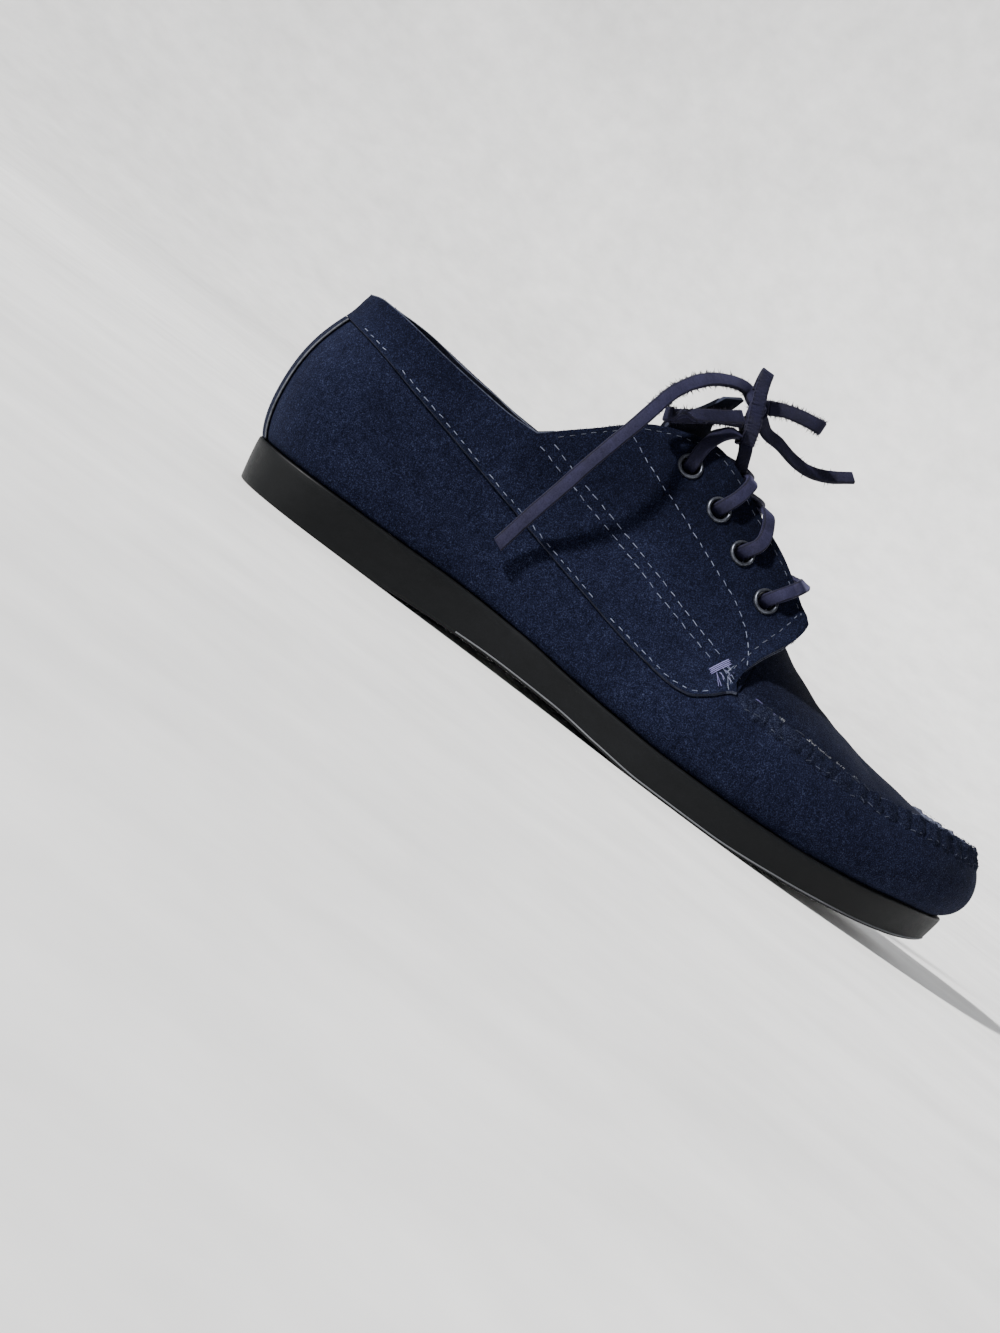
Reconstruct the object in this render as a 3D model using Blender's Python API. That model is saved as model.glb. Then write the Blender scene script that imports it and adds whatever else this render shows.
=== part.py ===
"""A right camp moccasin: hollow suede upper on a rubber unit sole, with tongue, insole and lace.

Tables and named sizes are in millimetres. While the shoe is worked out, x runs from the back of
the sole towards the toe, y towards the medial side and z up from the floor. solid() turns
millimetres into metres and moves everything so that the origin lies under the middle of the shoe.
"""

import math

import bmesh
import bpy
import numpy as np
from mathutils import Matrix, Vector

MM = 0.001


def table(names, *rows):
    """A table as a dictionary of columns, with one row for each section."""
    return dict(zip(names.split(), np.array(rows, float).T))


# ---------------------------------------------------------------- driving dimensions

ORIGIN_X = 149.95         # middle of the shoe's box, ahead of the back of the sole
ORIGIN_Y = -0.4           # middle of the shoe's box, to the medial side of the heel's centre

HEEL_CENTRE_X = 36.0      # sections fan out round this point at the heel
TOE_CENTRE_X = 236.0      # and round this one at the toe
TOE_CENTRE_Y = 3.5
TACK_X = 185.0            # where the eyelet flaps end and the moccasin seam begins

GAP = 0.3                 # space kept between neighbouring pieces
WALL = 1.8                # thickness of the upper
OVERLAY = 1.3             # thickness of the quarters and the back strip
MARGIN = 12.0             # width of the upper turned in under the insole
FLAP_LEAN = 8.0           # how far the flap's front edge leans forward at its top

# Outline of the sole's top edge: half widths at x.
OUTLINE = table(
    "x lateral medial",
    (3.5, 14.0, 14.0),
    (13, 25.5, 25.0),
    (30, 33.0, 32.5),
    (60, 35.5, 34.5),
    (95, 37.5, 33.0),
    (125, 42.0, 32.5),
    (155, 48.6, 38.2),
    (180, 52.8, 45.6),
    (205, 53.8, 51.2),
    (228, 50.8, 53.2),
    (250, 43.6, 51.4),
    (270, 33.0, 46.0),
    (286, 19.0, 37.5),
    (297, 3.0, 25.5),
)
HEEL_BACK = (0.0, 0.0)
TOE_TIP = (301.5, 11.5)

# Heights of the sole's top edge and of its underside.
SOLE = table(
    "x top bottom",
    (0, 15.9, 0.0),
    (55, 16.6, 0.0),
    (87, 17.2, 2.0),
    (115, 16.4, 3.2),
    (137, 14.6, 2.9),
    (157, 13.4, 1.3),
    (176, 12.7, 0.0),
    (204, 13.0, 0.0),
    (233, 14.2, 1.7),
    (260, 17.0, 4.4),
    (282, 20.0, 7.6),
    (302, 22.0, 12.0),
)

# The wall up to the moccasin seam, or at the back up to the quarters' lower edge. seam_z is that
# line's height; the other columns are distances outside the sole's outline.
WALL_LOW = table(
    "x foot swell seam_out seam_z",
    (0, -2.4, 4.1, -0.6, 67.4),
    (12, -2.4, 3.8, -0.6, 65.4),
    (36, -2.2, 2.0, -1.2, 60.3),
    (78, -2.5, 0.5, -2.4, 50.5),
    (120, -2.6, 0.3, -2.4, 40.6),
    (150, -2.8, 0.6, -2.0, 34.6),
    (164, -3.0, 1.0, -2.2, 33.0),
    (171, -3.0, 1.2, -2.6, 33.9),
    (178, -3.0, 1.3, -3.8, 38.2),
    (185, -3.0, 1.4, -6.4, 43.6),
    (204, -3.0, 1.5, -8.0, 42.6),
    (236, -3.0, 1.5, -9.0, 41.7),
    (262, -3.0, 2.0, -8.4, 42.6),
    (285, -2.8, 3.2, -6.0, 45.0),
    (301, -2.2, 4.2, -3.6, 46.4),
)

# The wall's upper edge. half is the distance from the shoe's centre line, tilt how far the leather
# leans inwards from upright, in degrees, and medial_rise how much higher the medial side is.
NOTCH_X = 78.0            # where the collar ends and the eyelet flap rises
COLLAR = table(
    "x z half tilt medial_rise",
    (0, 80.0, 32.4, 9, 0.0),
    (14, 79.0, 30.4, 10, 1.5),
    (36, 76.4, 29.6, 12, 3.0),
    (54, 74.6, 30.4, 14, 3.0),
    (68, 73.6, 31.6, 16, 2.6),
    (NOTCH_X, 74.0, 32.6, 19, 1.8),
)
FLAP = table(
    "x z half tilt medial_rise",
    (NOTCH_X, 74.0, 32.6, 19, 1.8),
    (86, 81.2, 29.6, 24, 0.8),
    (94, 88.4, 26.2, 29, 0.0),
    (102, 95.6, 22.4, 33, 0.0),
    (110, 101.0, 19.0, 36, 0.0),
    (120, 105.2, 15.8, 39, 0.0),
    (131, 107.6, 13.8, 41, 0.0),
    (141, 105.6, 14.0, 41, 0.0),
    (152, 100.2, 15.4, 41, 0.0),
    (163, 95.0, 17.0, 42, 0.0),
    (172, 90.8, 18.4, 42, 0.0),
    (180, 86.0, 20.0, 43, 0.0),
    (187, 81.0, 22.2, 44, 0.0),
    (191.5, 77.0, 24.6, 45, 0.0),
    (193, 74.0, 26.8, 46, 0.0),
)

# Height of the plug, the top of the toe, along its middle.
PLUG = table(
    "x z",
    (168, 81.0),
    (180, 74.6),
    (185, 72.0),
    (197, 66.0),
    (211, 59.8),
    (225, 55.4),
    (236, 52.8),
)
PLUG_BACK_X = 172.0       # the plug's back edge at the middle, hidden by the laces
PLUG_DOME = 2.0           # roundness across
PLUG_TOE = 1.6            # roundness towards the toe
PLUG_TUCK = (0.8, 0.5)    # how far inside and below the seam line its edge lies
TAB_ARCH = 2.2            # roundness of its back edge

# The raised moccasin seam: half its width, its height and how far it leans inwards, in degrees.
RIB_HALF = 4.2
RIB_PROUD = 2.3
RIB_SLANT = 42.0
RIB_SINK = (0.5, 0.2)     # how far inside and below the seam line its middle lies
RIB_START = 5.5           # where it starts, ahead of the flaps
RIB_END = 0.45            # its size at its two ends

# The tongue along its middle: height, half width, and how far its sides drop and sweep back.
TONGUE = table(
    "x z half drop sweep",
    (190, 62.8, 17, 6.6, 0),
    (181, 68.6, 18, 8.0, 0),
    (172, 74.8, 19, 9.6, 0),
    (163, 83.6, 19.5, 12.0, 0),
    (152, 91.2, 19.0, 12.6, 2),
    (142, 96.8, 18.5, 12.4, 5),
    (134, 101.6, 16.5, 11.0, 9),
    (129, 107.4, 15.7, 10.4, 13),
    (126.5, 114.2, 16.2, 9.0, 13.5),
    (126.0, 121.6, 15.6, 7.0, 7.0),
    (127.6, 128.0, 12.0, 4.0, 4.0),
)
TONGUE_THICK = 1.8

INSOLE_THICK = 2.6
BED_INSET = 16.2          # where the insole's underside steps down inside the margin
HEEL_TAPER = 2.6          # how far the heel's back and sides draw in towards the floor
SOLE_TAPER = 1.4          # and the rest of the sole's edge
SOLE_ROUND = 1.2          # rounding at the sole's bottom corner
SOLE_LIP = 3.4            # depth of the upright lip under the sole's top edge
SOLE_LIP_OUT = 0.4        # and how far it stands inside that edge
INSOLE_CLEAR = 1.4        # space between the insole's rim and the wall's inside

# Eyelets on each flap: place along the shoe and distance below the flap's edge.
EYELETS = table(
    "x inset",
    (127.4, 13.0),
    (143.6, 17.0),
    (157.0, 16.2),
    (171.0, 16.2),
)
EYELET_OUTER = 4.8        # radius of the flange
EYELET_BORE = 3.0
EYELET_TUBE = 3.6         # outer radius of the barrel
EYELET_RISE = 1.1

LACE_WIDE = 5.0
LACE_THICK = 2.4
LACE_CLEAR = 1.2          # space below a lace that rests on the flaps
LACE_LIFT = OVERLAY + GAP + LACE_CLEAR + LACE_THICK / 2
CROSS_LIFT = 1.5          # how much higher the upper strand of a crossing lies
DIVE_INSIDE = 6.0         # where a crossing strand ends, inside the other flap's edge
DIVE_ABOVE = 0.4          # and above it
DIVE_WAY = (-0.2, 0.0, 1.0)
TIE_UNDER = 1.1           # space between the tie and the knot
EDGE_BELOW = 0.2          # how far below the flap's edge a lace crosses it

# A lace's steps from its eyelet to the flap's edge: the share of the way, the column of LACING that
# holds its place ahead, and its extra height over the leather.
LACE_STEPS = ((0.35, "third", 0.9), (0.7, "two_thirds", 0.8), (1.0, "edge", 0.9))

# How each lace runs from its eyelets: how far ahead of the eyelet it is a third, two thirds and all
# the way up to the flap's edge, then how far ahead of the edge and above it its middle is, and how
# far ahead of its eyelet a crossing strand ends.
LACING = table(
    "eyelet third two_thirds edge middle rise dive",
    (2, 1.5, 2.5, 2.5, -1.5, 1.2, -8.0),
    (3, 1.8, 1.4, -1.5, -3.5, 1.2, -9.0),
    (4, 1.8, 3.4, 4.4, 2.6, 1.6, 0.0),
)

# The tie that rises from each top eyelet, over the flap's edge and under the knot: place, distance
# from the middle of the throat, height, and the way its flat side faces (forward, outwards, up).
TIE = table(
    "x half z forward outwards up",
    (127.6, 20.8, 106.0, 0.0, 0.8, 0.6),
    (129.6, 14.6, 111.5, -0.2, 0.6, 0.8),
    (133.0, 8.0, 113.8, -0.2, 0.2, 1.0),
)

# The knot: its middle, half its size across, and how far it leans back, in degrees.
KNOT = (137.2, 2.6, 122.8)
KNOT_HALF = (5.6, 5.2, 6.6)
KNOT_LEAN = -15.0

# The bow. Each route runs from the knot, or for a loop out and back to it.
BOW = {
    "lace_end_long": [
        (133.4, 8.6, 130.2), (129.5, 9.4, 132.4), (125.5, 6.0, 132.0), (120.8, -2.0, 129.8),
        (115.5, -11.5, 126.0), (110.6, -21.5, 120.2), (107.0, -30.0, 113.2), (105.0, -36.5, 105.6),
        (103.0, -40.6, 96.6), (100.6, -42.8, 87.0), (98.2, -43.6, 77.0), (95.6, -43.6, 64.6),
        (92.8, -43.2, 52.0), (90.2, -42.9, 38.6)],
    "lace_end_short": [
        (143.6, 4.0, 123.9), (149.8, 7.4, 123.7), (157.4, 11.2, 122.5), (164.9, 15.0, 122.8),
        (172.2, 18.6, 125.7), (180.0, 22.0, 131.0)],
    "lace_loop_front": [
        (136.4, 8.8, 130.3), (143.6, 9.8, 134.2), (150.8, 9.4, 136.3), (156.4, 8.4, 137.1),
        (158.4, 6.2, 137.1), (156.4, 4.0, 136.8), (150.4, 3.6, 135.7), (144.2, 3.6, 134.0),
        (139.0, 3.4, 131.2)],
    "lace_loop_back": [
        (133.0, -4.1, 121.2), (127.5, -9.2, 118.2), (122.0, -15.0, 114.5), (116.2, -19.6, 110.4),
        (111.8, -22.6, 107.3), (109.6, -25.4, 106.3), (112.0, -28.0, 107.9), (116.6, -25.0, 110.9),
        (122.4, -20.4, 115.0), (128.0, -15.0, 118.9), (132.2, -10.0, 122.2)],
    "lace_bight": [
        (139.8, -5.7, 115.8), (138.2, -5.6, 121.4), (135.6, -5.2, 127.0), (133.0, -4.6, 133.0),
        (131.2, -3.2, 138.2), (130.8, 0.0, 140.6), (131.4, 3.2, 138.0), (132.4, 3.8, 133.6)],
}

# Half the back strip's angle seen from the heel's centre, in degrees.
STRIP_ANGLE = 15.0

COLOURS = {
    "suede": ((0.012, 0.017, 0.040, 1), 0.95, 0.0),
    "suede_dark": ((0.008, 0.010, 0.020, 1), 0.95, 0.0),
    "insole_leather": ((0.030, 0.026, 0.026, 1), 0.80, 0.0),
    "rubber": ((0.022, 0.022, 0.023, 1), 0.55, 0.0),
    "lace_leather": ((0.030, 0.026, 0.062, 1), 0.75, 0.0),
    "eyelet_metal": ((0.070, 0.072, 0.085, 1), 0.35, 1.0),
}


# ---------------------------------------------------------------- curves


def smooth(columns, name, x):
    """One column of a table read at x, on a curve that has no bumps between the rows."""
    xs, ys = columns["x"], columns[name]
    if xs[0] > xs[-1]:
        xs, ys = xs[::-1], ys[::-1]
    step = np.diff(xs)
    rise = np.diff(ys) / step
    slope = np.zeros(len(xs))
    both = rise[1:] * rise[:-1] > 0
    slope[1:-1][both] = 2 * rise[1:][both] * rise[:-1][both] / (rise[1:] + rise[:-1])[both]
    slope[0], slope[-1] = rise[0], rise[-1]
    x = float(np.clip(x, xs[0], xs[-1]))
    k = int(np.clip(np.searchsorted(xs, x) - 1, 0, len(step) - 1))
    h = step[k]
    t = (x - xs[k]) / h
    start = (1 + 2 * t) * (1 - t) ** 2 * ys[k] + t * (1 - t) ** 2 * h * slope[k]
    end = t * t * (3 - 2 * t) * ys[k + 1] + t * t * (t - 1) * h * slope[k + 1]
    return float(start + end)


def rounded(points, per=8, closed=False):
    """A Catmull-Rom curve through points, with per steps between each pair."""
    points = np.array(points, float)
    if closed:
        points = np.vstack([points[-1:], points, points[:2]])
    else:
        first, last = 2 * points[0] - points[1], 2 * points[-1] - points[-2]
        points = np.vstack([first, points, last])
    curve = []
    for a, b, c, d in zip(points, points[1:], points[2:], points[3:]):
        for t in np.arange(per) / per:
            bend = (2 * a - 5 * b + 4 * c - d) * t * t
            twist = (3 * b - a - 3 * c + d) * t ** 3
            curve.append(0.5 * (2 * b + (c - a) * t + bend + twist))
    if not closed:
        curve.append(points[-2])
    return np.array(curve)


def bezier(a, b, c, d, t):
    """A point of a cubic curve."""
    s = 1 - t
    return s ** 3 * a + 3 * s * s * t * b + 3 * s * t * t * c + t ** 3 * d


def ease(t):
    """0 to 1 with soft ends."""
    t = min(max(t, 0.0), 1.0)
    return t * t * (3 - 2 * t)


def sole_outline():
    """The sole's top edge seen from above, as a closed curve."""
    medial = list(zip(OUTLINE["x"], OUTLINE["medial"]))
    lateral = list(zip(OUTLINE["x"], -OUTLINE["lateral"]))
    return rounded([TOE_TIP] + medial[::-1] + [HEEL_BACK] + lateral, closed=True)


def centre_y(x):
    """The shoe's centre line, which bends to the medial side ahead of the heel."""
    along = (x - HEEL_CENTRE_X) / (TOE_CENTRE_X - HEEL_CENTRE_X)
    return TOE_CENTRE_Y * min(max(along, 0.0), 1.0)


def sole_top(x):
    return smooth(SOLE, "top", x)


# ---------------------------------------------------------------- sections round the shoe


OUTLINE_CURVE = sole_outline()


class Section:
    """An upright plane that runs outwards from the centre line and cuts the shoe's edge once."""

    def __init__(self, axis, angle, x, side):
        self.axis = np.array(axis, float)
        self.ahead = np.array([math.cos(angle), math.sin(angle)])
        self.x = x
        self.side = side
        self.edge = self.reach(OUTLINE_CURVE)

    def reach(self, outline):
        """Distance from the axis to the outline along this section."""
        across = np.array([-self.ahead[1], self.ahead[0]])
        local = outline - self.axis
        along, off = local @ self.ahead, local @ across
        best = 0.0
        for i in range(len(local)):
            j = (i + 1) % len(local)
            if off[i] * off[j] <= 0 and off[i] != off[j]:
                t = off[i] / (off[i] - off[j])
                best = max(best, along[i] + t * (along[j] - along[i]))
        return best

    def place(self, out, z, forward=0.0):
        """The point that far out from the axis, at that height."""
        flat = self.axis + self.ahead * out
        return np.array([flat[0] + forward, flat[1], z])


# Where the sections stand: angles in degrees off the shoe's length at heel and toe, then x.
HEEL_FAN = [0.0, STRIP_ANGLE / 2, STRIP_ANGLE, 25, 38, 51, 64, 77]
TOE_FAN = [0, 9, 18, 27, 37, 48, 59, 70, 81]
SIDE_X = [HEEL_CENTRE_X, 50, 64, NOTCH_X, 85, 92, 100, 109, 119, 130, 141, 151, 160, 168, 175,
          180.5, TACK_X, 197, 210, 223, TOE_CENTRE_X]


def make_sections():
    """All sections, from the toe tip round the medial side and the heel and back."""
    toe, heel, side = [], [], []
    for degrees in TOE_FAN:
        x = TOE_CENTRE_X + (TOE_TIP[0] - TOE_CENTRE_X) * math.cos(math.radians(degrees))
        toe.append((x, math.radians(degrees)))
    for degrees in HEEL_FAN:
        heel.append((HEEL_CENTRE_X * (1 - math.cos(math.radians(degrees))), math.radians(degrees)))
    for x in SIDE_X:
        side.append((x, math.pi / 2))
    toe_axis, heel_axis = (TOE_CENTRE_X, TOE_CENTRE_Y), (HEEL_CENTRE_X, 0.0)
    half = [Section(toe_axis, a, x, 1) for x, a in toe]
    half += [Section((x, centre_y(x)), a, x, 1) for x, a in side[::-1]]
    half += [Section(heel_axis, math.pi - a, x, 1) for x, a in heel[::-1]]
    back = [Section(heel_axis, math.pi + a, x, -1) for x, a in heel[1:]]
    back += [Section((x, centre_y(x)), -a, x, -1) for x, a in side]
    back += [Section(toe_axis, -a, x, -1) for x, a in toe[:0:-1]]
    return half + back


SECTIONS = make_sections()
REAR = [i for i, s in enumerate(SECTIONS) if s.x <= TACK_X]
FRONT = [i for i, s in enumerate(SECTIONS) if s.x >= TACK_X]
FRONT_LATERAL = [i for i in FRONT if i > REAR[-1]]
FRONT_RING = [REAR[-1]] + FRONT_LATERAL + [i for i in FRONT if i <= REAR[0]]


def low_curve(section):
    """The four points that shape a section's wall from its foot to the seam line."""
    x, edge = section.x, section.edge
    foot_out, seam_out = smooth(WALL_LOW, "foot", x), smooth(WALL_LOW, "seam_out", x)
    swell = (8 * smooth(WALL_LOW, "swell", x) - foot_out - seam_out) / 6
    foot_x = section.place(edge + foot_out, 0)[0]
    low, high = sole_top(foot_x) + GAP, smooth(WALL_LOW, "seam_z", x)
    rise = high - low
    outs = (edge + foot_out, edge + swell, edge + swell, edge + seam_out)
    heights = (low, low + 0.2 * rise, low + 0.7 * rise, high)
    return [np.array(p) for p in zip(outs, heights)]


def lean(x):
    """How far forward the top of the section at x leans, so that the flap's front edge does."""
    return FLAP_LEAN * ease((x - 135) / (TACK_X - 135))


def high_curve(section):
    """The four points that shape a section's wall from the seam line to the top edge."""
    low = low_curve(section)
    seam, along = low[3], low[3] - low[2]
    x_top = section.x + lean(section.x)
    edge = COLLAR if x_top < NOTCH_X else FLAP
    rise = smooth(edge, "medial_rise", x_top) if section.side > 0 else 0.0
    top = np.array([smooth(edge, "half", x_top), smooth(edge, "z", x_top) + rise])
    tilt = math.radians(smooth(edge, "tilt", x_top))
    third = 0.34 * np.linalg.norm(top - seam)
    before = seam + along / np.linalg.norm(along) * third
    after = top + third * np.array([math.sin(tilt), -math.cos(tilt)])
    return [seam, before, after, top]


def high_point(section, t):
    """A point of the upper's outside between the seam line, t 0, and the top edge, t 1."""
    out, z = bezier(*high_curve(section), t)
    return section.place(out, z, lean(section.x) * t)


LOW_STEPS = (0.0, 0.18, 0.42, 0.7, 1.0)
HIGH_STEPS = (0.0, 0.18, 0.37, 0.56, 0.78, 1.0)


def low_rows(section):
    """The wall's outside from the turned-in margin up to the seam line."""
    curve = low_curve(section)
    inner = section.place(curve[0][0] - MARGIN, 0)
    inner[2] = sole_top(inner[0]) + GAP
    rows = [inner]
    for t in LOW_STEPS:
        out, z = bezier(*curve, t)
        rows.append(section.place(out, z))
    return rows


def ridge(section):
    """The seam line's distance from the axis and its height at a section."""
    return low_curve(section)[3]


def plug_rows(section, edge_in, edge_down):
    """The plug's outside from just inside the seam to the middle of the shoe."""
    out, z_edge = ridge(section)
    turn = abs(float(section.ahead[0]))
    z_mid = smooth(PLUG, "z", min(section.x, TOE_CENTRE_X))
    rows = [section.place(out - edge_in, z_edge - edge_down)]
    for v in (0.84, 0.68, 0.52, 0.34, 0.17, 0.0):
        side_shape, toe_shape = 1 - v ** PLUG_DOME, (1 - v) ** PLUG_TOE
        height = side_shape + (toe_shape - side_shape) * turn
        rows.append(section.place(out * v, z_edge + (z_mid - z_edge) * height))
    return rows


# ---------------------------------------------------------------- meshes


def material(name):
    found = bpy.data.materials.get(name)
    if found:
        return found
    colour, rough, metal = COLOURS[name]
    made = bpy.data.materials.new(name)
    made.use_nodes = True
    shader = made.node_tree.nodes["Principled BSDF"]
    shader.inputs["Base Color"].default_value = colour
    shader.inputs["Roughness"].default_value = rough
    shader.inputs["Metallic"].default_value = metal
    made.diffuse_color = colour
    return made


def metres(point):
    """A point of the shoe in the part's own frame."""
    return Vector(((point[0] - ORIGIN_X) * MM, (point[1] - ORIGIN_Y) * MM, point[2] * MM))


def solid(name, points, faces, finish, guide=False):
    """An object from points in millimetres; a guide only cuts or joins another object."""
    mesh = bpy.data.meshes.new(name)
    mesh.from_pydata([metres(p) for p in points], [], faces)
    work = bmesh.new()
    work.from_mesh(mesh)
    bmesh.ops.remove_doubles(work, verts=work.verts, dist=1e-6)
    work.to_mesh(mesh)
    work.free()
    mesh.shade_smooth()
    mesh.set_sharp_from_angle(angle=math.radians(40))
    made = bpy.data.objects.new(name, mesh)
    bpy.context.collection.objects.link(made)
    made.data.materials.append(material(finish))
    if guide:
        made.hide_render = True
        made.display_type = "WIRE"
    return made


def grid_faces(count, rows, closed=False, start=0):
    """Faces between neighbouring columns of a grid whose columns have that many rows."""
    faces = []
    for i in range(count if closed else count - 1):
        a, b = start + i * rows, start + (i + 1) % count * rows
        faces += [(a + j, b + j, b + j + 1, a + j + 1) for j in range(rows - 1)]
    return faces


def thicken(made, thickness, outwards=False):
    """Give a sheet its thickness."""
    change = made.modifiers.new("thickness", "SOLIDIFY")
    change.thickness = thickness * MM
    change.offset = 1.0 if outwards else -1.0
    change.use_even_offset = True
    change.use_quality_normals = True


def combine(made, other, operation):
    change = made.modifiers.new(operation.lower(), "BOOLEAN")
    change.operation = operation
    change.object = other


def raised(made, distance):
    """Move a sheet outwards along its own normals."""
    places = [v.co + v.normal * distance * MM for v in made.data.vertices]
    for vertex, place in zip(made.data.vertices, places):
        vertex.co = place


# ---------------------------------------------------------------- sole and insole


def outsole():
    """The rubber unit: flat under heel and ball, hollowed at the arch, sprung at the toe."""
    points = []
    for section in SECTIONS:
        edge = section.edge
        heel = 1 - ease((section.x - 30) / 60)
        taper = SOLE_TAPER + (HEEL_TAPER - SOLE_TAPER) * heel
        column = []
        for out in (0.0, 0.55 * edge, edge - taper - SOLE_ROUND):
            point = section.place(out, 0)
            point[2] = smooth(SOLE, "bottom", point[0])
            column.append(point)
        low = smooth(SOLE, "bottom", column[-1][0])
        high = sole_top(section.place(edge, 0)[0])
        column.append(section.place(edge - taper, low + SOLE_ROUND))
        column.append(section.place(edge - SOLE_LIP_OUT, high - SOLE_LIP))
        for out in (edge,) + bed_rings(section)[::-1]:
            point = section.place(out, 0)
            point[2] = sole_top(point[0])
            column.append(point)
        points += column
    return solid("outsole", points, grid_faces(len(SECTIONS), 10, closed=True), "rubber")


def bed_rings(section):
    """Distances from the axis, shared by sole and insole, so that the two lie close together."""
    inner = section.edge - BED_INSET
    return (0.0, 0.33 * inner, 0.67 * inner, inner)


def insole():
    """A footbed that lies on the turned-in margin and fills the space inside it."""
    points = []
    for section in SECTIONS:
        rings = bed_rings(section)
        outer = low_curve(section)[0][0] - WALL - INSOLE_CLEAR
        bed, step = GAP, 2 * GAP + WALL + 0.1
        levels = [(out, bed) for out in rings]
        levels += [(rings[-1], step), (outer, step), (outer, step + INSOLE_THICK)]
        levels += [(out, step + INSOLE_THICK) for out in rings[2::-1]]
        for out, above in levels:
            point = section.place(out, 0)
            point[2] = sole_top(point[0]) + above
            points.append(point)
    return solid("insole", points, grid_faces(len(SECTIONS), 10, closed=True), "insole_leather")


# ---------------------------------------------------------------- upper


def wall_sheet():
    """The wall of the upper: all round up to the seam line, then the collar and the flaps."""
    low_count = len(LOW_STEPS) + 1
    points = [p for section in SECTIONS for p in low_rows(section)]
    faces = grid_faces(len(SECTIONS), low_count, closed=True)
    start = len(points)
    for i in REAR:
        points += [high_point(SECTIONS[i], t) for t in HIGH_STEPS]
    faces += grid_faces(len(REAR), len(HIGH_STEPS), start=start)
    return points, faces


def plug_sheet():
    """The plug: a dome inside the seam, with a short tab that runs back under the laces."""
    columns = [plug_rows(SECTIONS[i], *PLUG_TUCK) for i in FRONT_RING]
    points = [p for column in columns for p in column]
    faces = grid_faces(len(columns), len(columns[0]))
    line = columns[0] + columns[-1][-2::-1]
    middle = centre_y(TACK_X)
    reach = {False: abs(line[0][1] - middle), True: abs(line[-1][1] - middle)}
    steps = 3
    start = len(points)
    for k in range(steps + 1):
        for point in line:
            aside = point[1] - middle
            v = aside / reach[bool(aside > 0)]
            back = (TACK_X - PLUG_BACK_X) * (1 - abs(v) ** TAB_ARCH) * k / steps
            rise = smooth(PLUG, "z", TACK_X - back) - smooth(PLUG, "z", TACK_X)
            points.append(point + np.array([-back, 0, rise * (1 - abs(v) ** PLUG_DOME)]))
    tab = grid_faces(steps + 1, len(line), start=start)
    faces += [f[::-1] for f in tab]
    return points, faces


def seam_rib():
    """The raised moccasin seam, an oval cord of gathered leather with rounded ends."""
    ring = [SECTIONS[i] for i in FRONT_RING[1:-1]]
    start, slant = TACK_X + RIB_START, math.radians(RIB_SLANT)
    count, points = 10, []
    last = len(ring) - 1
    for k, section in enumerate(ring):
        out, z = ridge(section) - RIB_SINK
        size = RIB_END if k in (0, last) else 1.0
        shift = start - section.x if k in (0, last) else 0.0
        for n in range(count):
            angle = 2 * math.pi * n / count
            wide = RIB_HALF * size * math.cos(angle)
            proud = RIB_PROUD * size * math.sin(angle)
            dout = -wide * math.cos(slant) + proud * math.sin(slant)
            dz = wide * math.sin(slant) + proud * math.cos(slant)
            points.append(section.place(out + dout, z + dz, shift))
    faces = []
    for k in range(last):
        for n in range(count):
            a, b = k * count + n, k * count + (n + 1) % count
            faces.append((a, b, b + count, a + count))
    faces.append(tuple(range(count))[::-1])
    faces.append(tuple(range(last * count, (last + 1) * count)))
    return points, faces


def flap_place(side, x, inset):
    """A point of the upper's outside that far below the flap's edge, and the way out from it."""
    section = Section((x, centre_y(x)), side * math.pi / 2, x, side)
    steps = np.linspace(1, 0, 81)
    line = [high_point(section, t) for t in steps]
    run = np.concatenate([[0], np.cumsum([np.linalg.norm(b - a) for a, b in zip(line, line[1:])])])
    t = float(np.interp(inset, run, steps))
    here, up = high_point(section, t), high_point(section, min(t + 0.02, 1.0))
    down = high_point(section, max(t - 0.02, 0.0))
    ahead = Section((x + 2, centre_y(x + 2)), side * math.pi / 2, x + 2, side)
    forward = high_point(ahead, t) - here
    out = np.cross(up - down, forward) * side
    return here, out / np.linalg.norm(out)


def turned(name, centre, way, profile, count, finish, guide=False):
    """A ring or rod: a closed profile of (radius, height) turned round an axis at centre."""
    frame = Vector(way).to_track_quat("Z", "Y").to_matrix()
    points = []
    for n in range(count):
        angle = 2 * math.pi * n / count
        for radius, height in profile:
            local = Vector((radius * math.cos(angle), radius * math.sin(angle), height))
            points.append(np.array(centre) + np.array(frame @ local))
    rows = len(profile)
    faces = []
    for n in range(count):
        for j in range(rows):
            a, b = n * rows, (n + 1) % count * rows
            faces.append((a + j, b + j, b + (j + 1) % rows, a + (j + 1) % rows))
    return solid(name, points, faces, finish, guide)


def hole_cutters():
    """Rods through the flaps at the eyelets, as one cutter."""
    cutters = []
    for side in (-1, 1):
        for x, inset in zip(EYELETS["x"], EYELETS["inset"]):
            here, out = flap_place(side, x, inset)
            radius = EYELET_TUBE + GAP
            profile = [(0.0, -5.0), (radius, -5.0), (radius, 5.0), (0.0, 5.0)]
            rod = turned("rod", here, out, profile, 10, "suede", guide=True)
            cutters.append(rod)
    work = bmesh.new()
    for rod in cutters:
        work.from_mesh(rod.data)
        bpy.data.objects.remove(rod)
    mesh = bpy.data.meshes.new("eyelet_holes")
    work.to_mesh(mesh)
    work.free()
    made = bpy.data.objects.new("eyelet_holes", mesh)
    bpy.context.collection.objects.link(made)
    made.hide_render = True
    made.display_type = "WIRE"
    return made


def upper(holes):
    """Wall, plug and raised seam joined into one hollow solid, with holes for the eyelets."""
    wall = solid("upper", *wall_sheet(), "suede")
    thicken(wall, WALL)
    plug = solid("plug_form", *plug_sheet(), "suede", guide=True)
    thicken(plug, WALL)
    rib = solid("seam_form", *seam_rib(), "suede", guide=True)
    combine(wall, plug, "UNION")
    combine(wall, rib, "UNION")
    combine(wall, holes, "DIFFERENCE")
    return wall


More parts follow.
